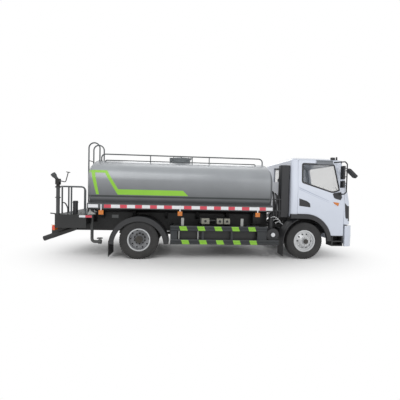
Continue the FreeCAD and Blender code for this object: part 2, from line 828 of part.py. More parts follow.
def rear_rim(name, side):
    """A twin rear wheel: two rims on one dished disc, hub and drum, turned as one."""
    well = size.bead_radius - size.seat_gap
    lip = size.bead_radius + size.rim_lip
    edge = size.bead_width / 2
    bore = size.spindle_radius + size.turning_gap
    inner = -size.twin_spacing
    section = [
        (inner - edge - 12, well - 14),
        (inner - edge - 12, lip),
        (inner - edge - size.lip_flare, lip),
        (inner - edge - size.seat_gap, well),
        (inner + edge + size.seat_gap, well),
        (inner + edge + size.lip_flare, lip),
        (-edge - size.lip_flare, lip),
        (-edge - size.seat_gap, well),
        (edge + size.seat_gap, well),
        (edge + size.lip_flare, lip),
        (edge + 12, lip),
        (edge + 12, well - 14),
        (-100, well - 26),
        (-112, size.hub_radius + 60),
        (-60, size.hub_radius),
        (50, size.hub_radius - 10),
        (50, 0),
        (10, 0),
        (10, bore),
        (inner + 60, bore),
        (inner + 60, size.drum_radius),
        (-124, size.drum_radius),
        (-124, well - 14),
    ]
    holes = (235, -140, -80)
    return rim_body(name, section, holes, size.rear_axle_x, side, size.rear_wheel_y)


def rim_body(name, section, holes, x, side, y):
    """A rim turned about the axle line, with a ring of hand holes, its disc facing out."""
    ring, near, far = holes
    blank = turned(name + "_body", "yz", [(-c[0], *c[1:]) for c in section], "H")
    count = 10
    drills = []
    for i in range(count):
        angle = 2 * math.pi * i / count
        start = Vector(ring * math.cos(angle), -far, ring * math.sin(angle))
        end = Vector(start.x, -near, start.z)
        drills.append(bar(start, end, size.hand_hole))
    rim = cut(name + "_drilled", blank, free_shape(name + "_drills", Part.makeCompound(drills)))
    if side < 0:
        return keep(name, place(rim, x, -y, size.tyre_radius))
    turned_round = Rotation(Vector(0, 0, 1), 180)
    return keep(name, place(rim, x, y, size.tyre_radius, turned_round))


def wheels():
    """Two front wheels and two twin rear wheels."""
    for side, name in ((-1, "right"), (1, "left")):
        tyre(f"tyre_front_{name}", front_axle_x, [side * size.front_wheel_y])
        front_rim(f"rim_front_{name}", side)
        inner = size.rear_wheel_y - size.twin_spacing
        tyre(f"tyre_rear_{name}", size.rear_axle_x, [side * size.rear_wheel_y, side * inner])
        rear_rim(f"rim_rear_{name}", side)


def tank_section(sketch):
    """Eight tangent arcs: flat curves for sides, top and bottom, tight ones between."""
    half_width = size.tank_width / 2
    half_height = size.tank_height / 2
    side_x = float(half_width - size.tank_side_radius)
    top_y = float(half_height - size.tank_top_radius)
    reach_side = float(size.tank_side_radius - size.tank_corner_radius)
    reach_top = float(size.tank_top_radius - size.tank_corner_radius)
    span = math.hypot(side_x, top_y)
    along = (reach_side**2 - reach_top**2 + span**2) / (2 * span)
    off = math.sqrt(reach_side**2 - along**2)
    ux, uy = -side_x / span, top_y / span
    corner_x = side_x + along * ux - off * uy
    corner_y = along * uy + off * ux
    side_turn = math.atan2(corner_y, corner_x - side_x)
    top_turn = math.atan2(corner_y - top_y, corner_x)
    right = math.pi
    arcs = (
        (side_x, 0, size.tank_side_radius, -side_turn, side_turn),
        (corner_x, corner_y, size.tank_corner_radius, side_turn, top_turn),
        (0, top_y, size.tank_top_radius, top_turn, right - top_turn),
        (-corner_x, corner_y, size.tank_corner_radius, right - top_turn, right - side_turn),
        (-side_x, 0, size.tank_side_radius, right - side_turn, right + side_turn),
        (-corner_x, -corner_y, size.tank_corner_radius, right + side_turn, right + top_turn),
        (0, -top_y, size.tank_top_radius, right + top_turn, 2 * right - top_turn),
        (corner_x, -corner_y, size.tank_corner_radius, -top_turn, -side_turn),
    )
    for x, y, radius, first, last in arcs:
        circle = Part.Circle(Vector(x, y, 0), Vector(0, 0, 1), float(radius))
        sketch.addGeometry(Part.ArcOfCircle(circle, first, last), False)
    rules = [("Tangent", i, 2, (i + 1) % 8, 1, None) for i in range(8)]
    rules += [("Radius", i, arcs[i][2]) for i in range(8)]
    rules += [
        ("PointOnObject", 0, 3, -1, None),
        ("PointOnObject", 4, 3, -1, None),
        ("PointOnObject", 2, 3, -2, None),
        ("PointOnObject", 6, 3, -2, None),
        ("DistanceX", -1, 1, 0, 3, half_width - size.tank_side_radius),
        ("DistanceX", -1, 1, 4, 3, size.tank_side_radius - half_width),
        ("DistanceY", -1, 1, 2, 3, half_height - size.tank_top_radius),
        ("DistanceY", -1, 1, 6, 3, size.tank_top_radius - half_height),
    ]
    constrain(sketch, rules)


def tank_barrel():
    """The tank: a rounded section pulled along the truck, its head edges rounded."""
    body = doc.addObject("PartDesign::Body", "tank_barrel")
    sketch = sketch_in(body, "tank_outline", "yz", size.tank_rear_x)
    tank_section(sketch)
    barrel = pad(body, sketch, "tank_pad", "yz", size.tank_length)
    place(body, 0, 0, tank_middle_z)
    doc.recompute()
    rims = [
        f"Face{i}"
        for i, face in enumerate(barrel.Shape.Faces, 1)
        if abs(face.normalAt(0, 0).x) > 0.99
    ]
    rounding = body.newObject("PartDesign::Chamfer", "tank_heads")
    rounding.Base = (barrel, rims)
    rounding.ChamferType = "Two distances"
    bind(rounding, "Size", size.tank_head_round)
    bind(rounding, "Size2", size.tank_head_round)
    body.Tip = rounding
    return body


def tank_shell():
    """The closed tank with a mouth under its manhole and a ledge along each side."""
    barrel = tank_barrel()
    mouth = rod("tank_mouth", size.manhole_radius - size.manhole_wall,
                (size.manhole_x, 0, tank_top - size.manhole_depth), size.manhole_depth + 50)
    inner = size.ledge_half_width - 190
    ledge = prism(
        "ledge",
        "yz",
        [
            (-size.ledge_half_width, size.ledge_bottom),
            (40 - size.ledge_half_width, size.ledge_bottom),
            (-inner, size.ledge_bottom - 40),
            (-inner, size.ledge_bottom + size.ledge_height + 60),
            (-size.ledge_half_width, size.ledge_bottom + size.ledge_height),
        ],
        size.tank_rear_x + 20,
        size.tank_length - 20 - size.ledge_short,
    )
    solid = fuse("tank_with_ledges", [barrel, ledge, mirrored("ledge_left", ledge)])
    keep("tank_shell", cut("tank", solid, mouth))
    doc.recompute()


def tank_cradle():
    """Two sills on the side rails and saddles shaped to the tank's underside."""
    pieces = []
    outer = size.frame_width / 2
    top = size.frame_top + size.sill_height
    start = size.tank_rear_x + 60
    length = size.tank_length - 120
    for side, name in ((-1, "right"), (1, "left")):
        low = -outer if side < 0 else rail_flange_y
        pieces.append(
            box(f"sill_{name}", start, start + length, low, low + size.frame_flange,
                size.frame_top, size.tank_bottom + 60)
        )
    saddles = 6
    pitch = (length - 240 - size.saddle_thickness) / (saddles - 1)
    for i in range(saddles):
        x = start + 120 + i * pitch
        profile = [
            (-size.saddle_half_width, top + 200),
            (-size.saddle_half_width + 60, top + 60),
            (-outer, top),
            (outer, top),
            (size.saddle_half_width - 60, top + 60),
            (size.saddle_half_width, top + 200),
            (size.saddle_half_width, top + 330),
            (-size.saddle_half_width, top + 330),
        ]
        pieces.append(prism(f"saddle_{i}", "yz", profile, x, size.saddle_thickness))
    solid = fuse("cradle_blank", pieces)
    return keep("tank_cradle", cut("cradle", solid, doc.getObject("tank_barrel")))


def tank_top_z(y):
    """Height of the tank's outside above a line along its top."""
    radius = float(size.tank_top_radius)
    return float(tank_top) - radius + math.sqrt(radius**2 - float(y) ** 2)


def tank_top_rails():
    """A handrail on posts along one side and a low rail along both."""
    rail_y = -size.handrail_y
    barrel = doc.getObject("tank_barrel").Shape
    sink = 12
    foot = tank_top_z(rail_y) - sink
    top = float(tank_top + size.handrail_rise - size.rail_radius)
    rear = float(size.handrail_rear_x)
    front = float(size.handrail_front_x)
    shapes = [
        tube([(rear, rail_y, foot), (rear, rail_y, top), (front, rail_y, top),
              (front, rail_y, foot)], size.rail_radius, 110)
    ]
    span = front - rear
    for share in (0.295, 0.553, 0.66):
        x = rear + share * span
        shapes.append(bar((x, rail_y, foot), (x, rail_y, top), size.rail_radius * 0.8))
    handrail = welded(shapes).cut(barrel)
    low_rails = []
    for side in (-1, 1):
        y = side * size.coaming_y
        base = tank_top_z(y) - sink
        level = base + sink + float(size.coaming_gap)
        low = [
            tube([(rear + 150, y, base), (rear + 150, y, level), (front - 250, y, level),
                  (front - 250, y, base)], size.rail_radius * 0.8, 30)
        ]
        low_rails.append(welded(low).cut(barrel))
    solids = Part.makeCompound([handrail] + low_rails)
    return keep("tank_top_rails", free_shape("top_rails", solids))


def rear_ladder():
    """Two stiles that rise past the tank and hoop over onto its top, with rungs."""
    x = float(size.tank_rear_x) - float(size.ladder_gap)
    front = x + float(size.hoop_width)
    top = float(tank_top + size.ladder_rise - size.stile_radius)
    half = float(size.ladder_width) / 2
    middle = -float(size.ladder_y)
    bend = float(size.hoop_width) / 2 - 1
    foot = float(size.platform_top)
    shapes = []
    for y in (middle - half, middle + half):
        landing = tank_top_z(y) - 12
        shapes.append(
            tube([(x, y, foot), (x, y, top), (front, y, top), (front, y, landing)],
                 size.stile_radius, bend)
        )
        for z in (float(tank_middle_z) + 330, float(tank_middle_z) - 250):
            shapes.append(
                bar((x, y, z), (float(size.tank_rear_x), y, z), size.rung_radius)
            )
    pitch = float(size.rung_pitch)
    count = int((float(tank_top) - foot) / pitch)
    for i in range(1, count + 1):
        z = foot + i * pitch
        shapes.append(bar((x, middle - half, z), (x, middle + half, z), size.rung_radius))
    ladder = welded(shapes).cut(doc.getObject("tank_barrel").Shape)
    return keep("rear_ladder", free_shape("ladder", ladder))


def manhole():
    """A flanged neck on the tank and its hinged lid with a clamp bar."""
    z = tank_top - 30
    height = size.manhole_height + 30
    x = size.manhole_x
    outer = rod("neck_outside", size.manhole_radius, (x, 0, z), height)
    bore = rod("neck_bore", size.manhole_radius - size.manhole_wall, (x, 0, z - 1), height + 2)
    ring = cut("neck_ring", outer, bore)
    tank = doc.getObject("tank_barrel")
    neck = cut("neck_fitted", ring, tank)
    lug_x = x - size.manhole_radius - size.lid_lap
    lugs = [
        box(f"neck_lug_{i}", lug_x - 50, x - size.manhole_radius + 24, y, y + 18,
            tank_top + 45, tank_top + size.manhole_height - 6)
        for i, y in enumerate((-99, 81))
    ]
    ears = [
        box(f"neck_ear_{i}", lug_x - 50, lug_x - 10, y, y + 18, tank_top + 45,
            tank_top + size.manhole_height + 30)
        for i, y in enumerate((-99, 81))
    ]
    keep("manhole_neck", fuse("neck_parts", [neck] + lugs + ears))
    seat = tank_top + size.manhole_height + size.seat_gap
    plate = rod("lid_plate", size.manhole_radius + size.lid_lap, (x, 0, seat),
                size.lid_thickness)
    strap = box("lid_strap", lug_x - 46, x + size.manhole_radius + 40, -30, 30,
                seat + size.lid_thickness - 4, seat + size.lid_thickness + 14)
    knuckle = rod("lid_knuckle", 14, (lug_x - 30, -80, seat + 12), 160, "y")
    grip = rod("lid_grip", 11, (x + size.manhole_radius + 14, -70, seat + size.lid_thickness + 26),
               140, "y")
    posts = [
        box(f"lid_grip_post_{i}", x + size.manhole_radius + 4, x + size.manhole_radius + 24,
            y, y + 14, seat + size.lid_thickness - 6, seat + size.lid_thickness + 28)
        for i, y in enumerate((-66, 52))
    ]
    pad_ring = box("lid_grip_base", x + size.manhole_radius - 30, x + size.manhole_radius + 26,
                   -66, 66, seat, seat + size.lid_thickness)
    strap_posts = [
        box("lid_hinge_strap", lug_x - 40, x - size.manhole_radius + 40, -60, 60, seat,
            seat + size.lid_thickness)
    ]
    keep("manhole_lid", fuse("lid_parts", [plate, strap, knuckle, grip, pad_ring]
                             + posts + strap_posts))


def rear_platform():
    """A folded platform behind the tank: floor, skirts and bearers to the side rails."""
    rear = size.platform_rear_x
    front = size.platform_front_x
    half = size.platform_half_width
    top = size.platform_top
    wall = size.plate_wall
    bottom = size.skirt_bottom
    pieces = [
        box("platform_floor", rear, front, -half, half, top - size.floor_wall, top),
        box("platform_back", rear, rear + wall, -half, half, bottom, top - 1),
        box("platform_right", rear, front, -half, wall - half, bottom, top - 1),
        box("platform_left", rear, front, half - wall, half, bottom, top - 1),
        box("platform_front", front - wall, front, -half, half, size.frame_top, top - 1),
    ]
    for side, name in ((-1, "right"), (1, "left")):
        low = -size.frame_width / 2 if side < 0 else rail_flange_y
        pieces.append(
            box(f"platform_bearer_{name}", rear + 100, front, low, low + size.frame_flange,
                size.frame_top, top - size.floor_wall + 1)
        )
    return keep("rear_platform", fuse("platform_parts", pieces))


def platform_railing():
    """A bent rail on posts round the right and back of the platform, and one on its left."""
    floor = float(size.platform_top)
    radius = float(size.railing_radius)
    top = float(size.railing_top) - radius
    inset = float(size.railing_inset)
    bend = float(size.railing_bend)
    y = float(size.platform_half_width) - inset
    front = float(size.platform_front_x) - inset + 10
    rear = float(size.platform_rear_x) + inset
    cut_x = rear + float(size.railing_cut_x)
    cut_y = float(size.railing_cut_y) - y
    back_end = float(size.back_railing_y)
    middle_x = (front + rear) / 2
    round_back = [
        tube([(front, -y, floor), (front, -y, top), (cut_x, -y, top), (rear, cut_y, top),
              (rear, back_end, top), (rear, back_end, floor)], radius, bend),
        bar((middle_x, -y, floor), (middle_x, -y, top), radius),
    ]
    for post_y in (cut_y + 80, (cut_y + back_end) / 2 - 410):
        round_back.append(bar((rear, post_y, floor), (rear, post_y, top), radius))
    left_rear = rear + 160
    left = [
        tube([(front, y, floor), (front, y, top), (left_rear, y, top), (left_rear, y, floor)],
             radius, bend),
        bar((middle_x, y, floor), (middle_x, y, top), radius),
    ]
    solids = Part.makeCompound([welded(round_back), welded(left)])
    return keep("platform_railing", free_shape("railing", solids))


def rear_sprinkler():
    """Sloping sprinkler pipes with turned-down ends, each under a bracket plate."""
    y = -float(size.sprinkler_y)
    tip = Vector(float(size.sprinkler_tip_x), y, float(size.sprinkler_tip_z))
    root = Vector(float(size.sprinkler_root_x), y, float(size.sprinkler_root_z))
    run = root - tip
    plain = float(size.spigot_length)
    shoulder = tip + run * (plain / run.Length)
    pipe = Part.makeCylinder(float(size.sprinkler_radius), run.Length - plain, shoulder, run)
    spigot = Part.makeCylinder(float(size.spigot_radius), plain, tip, run)
    under_floor = float(size.platform_top) - float(size.floor_wall)
    skirt = float(size.skirt_bottom)
    back_wall = float(size.platform_rear_x) + float(size.plate_wall)
    wedge_x = float(size.wedge_rear_x)
    wedge_z = tip.z + run.z * (wedge_x - tip.x) / run.x
    plate = Part.makePolygon([
        Vector(root.x + 60, y, under_floor),
        Vector(back_wall, y, under_floor),
        Vector(back_wall, y, skirt),
        Vector(wedge_x, y, skirt),
        Vector(wedge_x, y, wedge_z),
        Vector(root.x + 10, y, root.z - 40),
        Vector(root.x + 60, y, under_floor),
    ])
    web = Part.Face(plate).extrude(Vector(0, 80, 0))
    web.translate(Vector(0, -40, 0))
    right = free_shape("sprinkler_right", welded([pipe, spigot, web]))
    return keep("rear_sprinkler", pair("sprinklers", right))


def water_pipes():
    """The cannon's riser on the platform, the drain elbow and the valve boxes."""
    riser = [
        rod("riser", size.riser_radius, (size.riser_x, -size.riser_y, size.platform_top),
            size.riser_top - size.platform_top)
    ]
    for i, share in enumerate((0.0, 0.62, 1.0)):
        flange_z = size.platform_top + (size.riser_top - size.platform_top - 22) * share
        riser.append(
            rod(f"riser_flange_{i}", size.riser_radius + 22,
                (size.riser_x, -size.riser_y, flange_z), 22)
        )
    riser_part = fuse("riser_parts", riser)
    x = float(size.drain_x)
    y = -float(size.drain_y)
    level = 400
    elbow = tube([(x, y, float(size.tank_bottom) + 200), (x, y, level), (x + 170, y, level)],
                 size.drain_radius, 80)
    stem_x = x + 205
    valve = [
        bar((x + 170, y, level), (x + 250, y, level), size.drain_radius + 20),
        bar((stem_x, y, level), (stem_x, y, level + 105), 12),
        Part.makeTorus(70, 10, Vector(stem_x, y, level + 92)),
        bar((stem_x - 70, y, level + 92), (stem_x + 70, y, level + 92), 8),
    ]
    drain = welded([elbow] + valve)
    barrel = doc.getObject("tank_barrel")
    drain_part = cut("drain_fitted", free_shape("drain", drain), barrel)
    boxes = []
    for i, (start, width) in enumerate(((0, 219), (430, 157), (632, 139))):
        boxes.append(
            box(f"valve_box_{i}", start - 129, start + width - 129, -960, -820, 940, 1090)
        )
    boxes.append(rod("valve_pipe", 28, (60, -890, 1015), 480, "x"))
    boxes.append(box("valve_hanger", -80, 0, -960, -430, 900, 960))
    valves = fuse("valve_parts", boxes)
    return keep("water_pipes", group("pipes", [riser_part, drain_part, valves]))


def water_cannon():
    """The turning base of the cannon and its tilting barrel."""
    x = size.riser_x
    y = -size.riser_y
    z = size.riser_top + size.seat_gap
    height = size.cannon_height
    base = [
        rod("cannon_flange", size.riser_radius + 20, (x, y, z), 20),
        rod("cannon_post", size.riser_radius, (x, y, z), height - 100),
        box("cannon_cheek_right", x - 45, x + 45, y - 66, y - 52, z + height - 105,
            z + height + 45),
        box("cannon_cheek_left", x - 45, x + 45, y + 52, y + 66, z + height - 105,
            z + height + 45),
        box("cannon_saddle", x - 45, x + 45, y - 66, y + 66, z + height - 105,
            z + height - 90),
    ]
    keep("cannon_swivel", fuse("cannon_base", base))
    pivot = Vector(float(x), float(y), float(z + height))
    turn = math.radians(float(size.cannon_raise))
    way = Vector(-math.cos(turn), 0, math.sin(turn))
    radius = float(size.cannon_radius)
    length = float(size.cannon_length)
    tail = pivot - way * 60
    shapes = [
        Part.makeCylinder(radius, length - 60, tail, way),
        Part.makeCone(radius, radius + 22, 60, pivot + way * (length - 120), way),
        Part.makeCylinder(radius + 22, 60, pivot + way * (length - 60), way),
        Part.makeCylinder(14, 103.4, pivot - Vector(0, 51.7, 0), Vector(0, 1, 0)),
    ]
    side = Vector(0, 1, 0)
    elbow = pivot + Vector(185, 0, -40)
    grip = pivot + Vector(250, 0, 217)
    shapes.append(tube([pivot + Vector(20, 0, 0), elbow, grip], 12, 40))
    shapes.append(bar(tuple(grip - side * 110), tuple(grip + side * 110), 11))
    return keep("cannon_barrel", free_shape("barrel", welded(shapes)))


def side_guards():
    """Two channel rails a side on posts, hung from the side rails by bearers."""
    face = -size.guard_face_y
    back = face + size.guard_depth
    rear = size.guard_rear_x
    pieces = []
    for name, z, front in (
        ("upper", size.guard_upper_z, size.guard_front_x),
        ("lower", size.guard_lower_z, size.guard_nose_x),
    ):
        height = size.guard_rail_height
        profile = [
            (face + 8, z),
            (back, z),
            (back, z + height),
            (face + 8, z + height),
            (face, z + height - 14),
            (face, z + height * 0.62),
            (face + 10, z + height * 0.56),
            (face + 10, z + height * 0.44),
            (face, z + height * 0.38),
            (face, z + 14),
        ]
        pieces.append(prism(f"guard_{name}", "yz", profile, rear, front - rear))
    span = size.guard_front_x - rear
    for i, (share, width) in enumerate(((0, 180), (0.32, 60), (0.62, 60), (0.9, 255))):
        x = rear + span * share
        pieces.append(
            box(f"guard_post_{i}", x, x + width, back - 2, back + 30, size.guard_lower_z + 10,
                frame_bottom + size.guard_bearer_z + 46)
        )
        pieces.append(
            box(f"guard_bearer_{i}", x, x + 60, back + 28, -size.frame_width / 2,
                frame_bottom + size.guard_bearer_z,
                frame_bottom + size.guard_bearer_z + 46)
        )
    right = fuse("guard_right", pieces)
    return keep("side_guards", pair("guards", right))


def mudguards():
    """Rear mudguards over the twin wheels and the chassis half of the front ones."""
    x = size.rear_axle_x
    z = size.fender_centre_z
    width = size.fender_outer_y - size.fender_inner_y
    outer = size.fender_radius
    wall = size.fender_wall
    stay_z = z + outer - wall - 71
    rear_parts = [
        arch("rear_guard_sheet", x, z, outer - wall, outer, 5, 176, -size.fender_outer_y, width),
        arch("rear_guard_lip", x, z, outer - size.fender_lip, outer, 5, 176,
             -size.fender_outer_y, wall),
        box("rear_flap", x - outer, x - outer + wall, 20 - size.fender_outer_y,
            -size.fender_inner_y, size.flap_bottom, z + 130),
        box("rear_guard_stay", x - 30, x + 30, -size.fender_inner_y - 60,
            -size.frame_width / 2, stay_z, stay_z + 40),
        box("rear_guard_riser", x - 30, x + 30, -size.fender_inner_y - 60,
            -size.fender_inner_y - 10, stay_z, z + outer - wall),
        box("rear_guard_foot", x - 30, x + 30, -size.frame_width / 2 - 50,
            -size.frame_width / 2, size.frame_top - 100, stay_z + 40),
    ]
    front_outer = size.front_guard_radius
    fx = front_axle_x
    fz = size.tyre_radius
    front_parts = [
        arch("front_guard_sheet", fx, fz, front_outer - 14, front_outer, 112, 184, -1235, 440),
        box("front_flap", fx - front_outer + 2, fx - front_outer + 12, -1225, -800,
            size.front_flap_bottom, fz - 20),
        box("front_guard_stay", fx - front_outer + 45, fx - front_outer + 105, -800,
            -size.frame_width / 2, fz + 250, fz + 310),
    ]
    solids = []
    for name, parts in (("rear", rear_parts), ("front", front_parts)):
        right = fuse(f"{name}_guard_right", parts)
        solids += [right, mirrored(f"{name}_guard_left", right)]
    return keep("mudguards", group("guards_all", solids))


def side_boxes():
    """A round-cornered fuel tank on the left rail and a long locker on the right one."""
    r = size.fuel_radius
    y = size.fuel_y
    z = size.fuel_z
    corner = 90
    profile = [
        (y - r, z - r * 0.85, corner),
        (y + r, z - r * 0.85, corner),
        (y + r, z + r * 0.85, corner),
        (y - r, z + r * 0.85, corner),
    ]
    body = prism("fuel_body", "yz", profile, size.fuel_x, size.fuel_length)
    straps = [
        box(f"fuel_bearer_{i}", size.fuel_x + share * size.fuel_length,
            size.fuel_x + share * size.fuel_length + 60, size.frame_width / 2, y,
            frame_bottom + 20, frame_bottom + 80)
        for i, share in enumerate((0.2, 0.75))
    ]
    outer = -size.locker_outer_y
    low = size.locker_bottom
    high = low + size.locker_height
    inner = -size.frame_width / 2 - size.locker_gap
    locker_profile = [
        (outer, low, 30),
        (inner, low, 30),
        (inner, high, 30),
        (outer, high, 30),
    ]
    start = size.locker_rear_x
    locker = prism("locker_body", "yz", locker_profile, start, size.locker_length)
    bearers = [
        box(f"locker_bearer_{i}", start + share * size.locker_length,
            start + share * size.locker_length + 60, inner - 20, -size.frame_width / 2,
            frame_bottom + 20, frame_bottom + 80)
        for i, share in enumerate((0.15, 0.8))
    ]
    fuel = fuse("fuel_parts", [body] + straps)
    store = fuse("locker_parts", [locker] + bearers)
    return keep("side_boxes", group("tank_and_locker", [fuel, store]))


def air_intake():
    """The air filter drum beside the rail and the tall duct behind the cab."""
    filter_y = -1130
    drum = rod("filter_drum", size.filter_radius, (size.filter_x, filter_y, size.filter_z),
               480, "y")
    cap = rod("filter_cap", 62, (size.filter_x, filter_y - 24, size.filter_z), 30, "y")
    hanger = box("filter_hanger", size.filter_x - 40, size.filter_x + 40, -700,
                 -size.frame_width / 2, size.filter_z + 40, size.filter_z + 110)
    x0 = size.intake_x
    x1 = x0 + size.intake_depth
    y0 = -size.intake_y - size.intake_width / 2
    y1 = -size.intake_y + size.intake_width / 2
    duct = prism(
        "intake_duct",
        "xy",
        [(x0, y0, 45), (x1, y0, 45), (x1, y1, 45), (x0, y1, 45)],
        1150,
        size.intake_top - 1150,
    )
    elbow = free_shape(
        "intake_elbow",
        tube([(x0 + 20, -size.intake_y, 1235), (size.filter_x, -size.intake_y, 1235),
              (size.filter_x, -size.intake_y, size.filter_z)], 68, 85),
    )
    return keep("air_intake", fuse("intake_parts", [drum, cap, hanger, duct, elbow]))


def plan_wire(z, front, half_width, inset):
    """The cab's outline in plan at one height, moved in by a wall."""
    rear = float(size.cab_rear_x) + inset
    front = float(front) - inset
    half = float(half_width) - inset
    back = max(float(size.cab_back_radius) - inset, 5)
    corner = max(float(size.cab_corner_radius) - inset, 5)
    bow = float(size.cab_bow)
    side_x = front - bow - corner
    k = math.sqrt(0.5)

    def at(x, y):
        return Vector(x, y, z)

    edges = [
        Part.makeLine(at(rear, back - half), at(rear, half - back)),
        Part.Arc(at(rear, half - back), at(rear + back * (1 - k), half - back * (1 - k)),
                 at(rear + back, half)).toShape(),
        Part.makeLine(at(rear + back, half), at(side_x, half)),
        Part.Arc(at(side_x, half), at(side_x + corner * k, half - corner * (1 - k)),
                 at(side_x + corner, half - corner)).toShape(),
        Part.Arc(at(side_x + corner, half - corner), at(front, 0),
                 at(side_x + corner, corner - half)).toShape(),
        Part.Arc(at(side_x + corner, corner - half),
                 at(side_x + corner * k, corner * (1 - k) - half),
                 at(side_x, -half)).toShape(),
        Part.makeLine(at(side_x, -half), at(rear + back, -half)),
        Part.Arc(at(rear + back, -half), at(rear + back * (1 - k), back * (1 - k) - half),
                 at(rear, back - half)).toShape(),
    ]
    return Part.Wire(edges)


def cab_hull(inset, low):
    """The cab's closed form: plan outlines lofted upward under a crowned roof."""
    belt = float(size.cab_belt)
    waist = float(size.cab_waist)
    lip = float(size.cab_lip)
    top = float(size.cab_roof) + 60
    wires = []
    for z in (low, lip + 40, belt, waist, top):
        front = float(size.cab_front_x)
        front -= max(0, z - belt) * float(size.cab_front_lean) / 1000
        if z >= belt:
            front -= 25
        half = float(size.cab_half_width)
        half -= max(0, z - waist) * float(size.cab_side_lean) / 1000
        wires.append(plan_wire(z, front, half, inset))
    solid = Part.makeLoft(wires, True, True)
    roof = float(size.cab_roof) - inset
    eave = float(size.cab_eave) - inset
    half = float(size.cab_half_width)
    rear = float(size.cab_rear_x)
    front = float(size.cab_front_x)
    side_corners = [
        (rear - 200, low - 10, 0),
        (rear - 200, roof - 170, 0),
        (rear + inset, roof - 130, 0),
        (rear + inset + 130, roof - 20, 260),
        (front - 720, roof, 700),
        (front - 250, roof - 150, 220),
        (front + 100, roof - 700, 0),
        (front + 100, low - 10, 0),
    ]
    side_form = Part.Face(rounded_wire(side_corners, "xz")).extrude(Vector(0, 4 * half, 0))
    side_form.translate(Vector(0, -2 * half, 0))
    front_corners = [
        (-half - 50, low - 10, 0),
        (-half - 50, eave - 160, 0),
        (-half + 95 + inset, eave, 110),
        (-half + 500, roof - 3, 900),
        (half - 500, roof - 3, 900),
        (half - 95 - inset, eave, 110),
        (half + 50, eave - 160, 0),
        (half + 50, low - 10, 0),
    ]
    front_form = Part.Face(rounded_wire(front_corners, "yz")).extrude(Vector(4000, 0, 0))
    front_form.translate(Vector(rear - 500, 0, 0))
    return solid.common(side_form).common(front_form)


def rounded_wire(corners, plane):
    """A closed wire of straight sides with rounded corners in an upright plane."""
    def at(point):
        if plane == "xz":
            return Vector(point.x, 0, point.y)
        if plane == "yz":
            return Vector(0, point.x, point.y)
        return point

    count = len(corners)
    points = [Vector(float(c[0]), float(c[1]), 0) for c in corners]
    edges = []
    starts = []
    for i, corner in enumerate(corners):
        radius = float(corner[2])
        if radius <= 0:
            starts.append((points[i], points[i], None))
            continue
        back = (points[i - 1] - points[i]).normalize()
        ahead = (points[(i + 1) % count] - points[i]).normalize()
        half = back.getAngle(ahead) / 2
        reach = radius / math.tan(half)
        apex = points[i] + (back + ahead).normalize() * (radius / math.sin(half) - radius)
        starts.append((points[i] + back * reach, points[i] + ahead * reach, apex))
    for i in range(count):
        arrive, leave, apex = starts[i]
        if apex is not None:
            edges.append(Part.Arc(at(arrive), at(apex), at(leave)).toShape())
        following = starts[(i + 1) % count][0]
        if (following - leave).Length > 1e-6:
            edges.append(Part.makeLine(at(leave), at(following)))
    return Part.Wire(edges)


def door_outline(gap):
    """The door's edge in side view, moved out by a gap."""
    rear = float(size.door_rear_x) - gap
    front = float(size.door_front_x) + gap
    top = float(size.door_top) + gap
    bottom = float(size.door_bottom) - gap
    belt = float(size.cab_waist) + 60
    lean = 0.235 * (top - belt)
    return [
        (rear, bottom, 0),
        (front, bottom, 0),
        (front, belt, 60),
        (front - lean, top, 70),
        (rear, top, 60),
    ]


def window_outline(shrink):
    """The door window in side view, with its lower edge dropping to the front."""
    rear = float(size.door_rear_x) + 100 + shrink
    top = float(size.door_top) - 80 - shrink
    front = float(size.door_front_x) - 125 - shrink
    waist = float(size.cab_waist)
    return [
        (rear, waist + 210 + shrink, 70),
        (front - 225, waist - 60 + shrink, 60),
        (front - 6, waist + 10 + shrink, 30),
        (front - 165, top - 8, 60),
        (rear + 6, top, 60),
    ]


def side_cutter(corners, reach=400):
    """A block of a side-view outline through the right-hand side of the cab."""
    half = float(size.cab_half_width)
    block = Part.Face(rounded_wire(corners, "xz")).extrude(Vector(0, -reach, 0))
    block.translate(Vector(0, -half + reach - 60, 0))
    return block


def wheel_arch(radius):
    """A drum round the front wheel, level behind the axle, that trims the door."""
    half = float(size.cab_half_width)
    centre = Vector(float(front_axle_x), -half - 200, float(size.tyre_radius))
    drum = Part.makeCylinder(float(radius), 2 * half + 400, centre, Vector(0, 1, 0))
    behind = Part.makeBox(float(radius), 2 * half + 400, float(radius),
                          centre - Vector(float(radius), 0, 0))
    return drum.fuse(behind)


def mirror_shape(shape):
    """A free shape on the other side of the truck."""
    return shape.mirror(Vector(0, 0, 0), Vector(0, 1, 0))


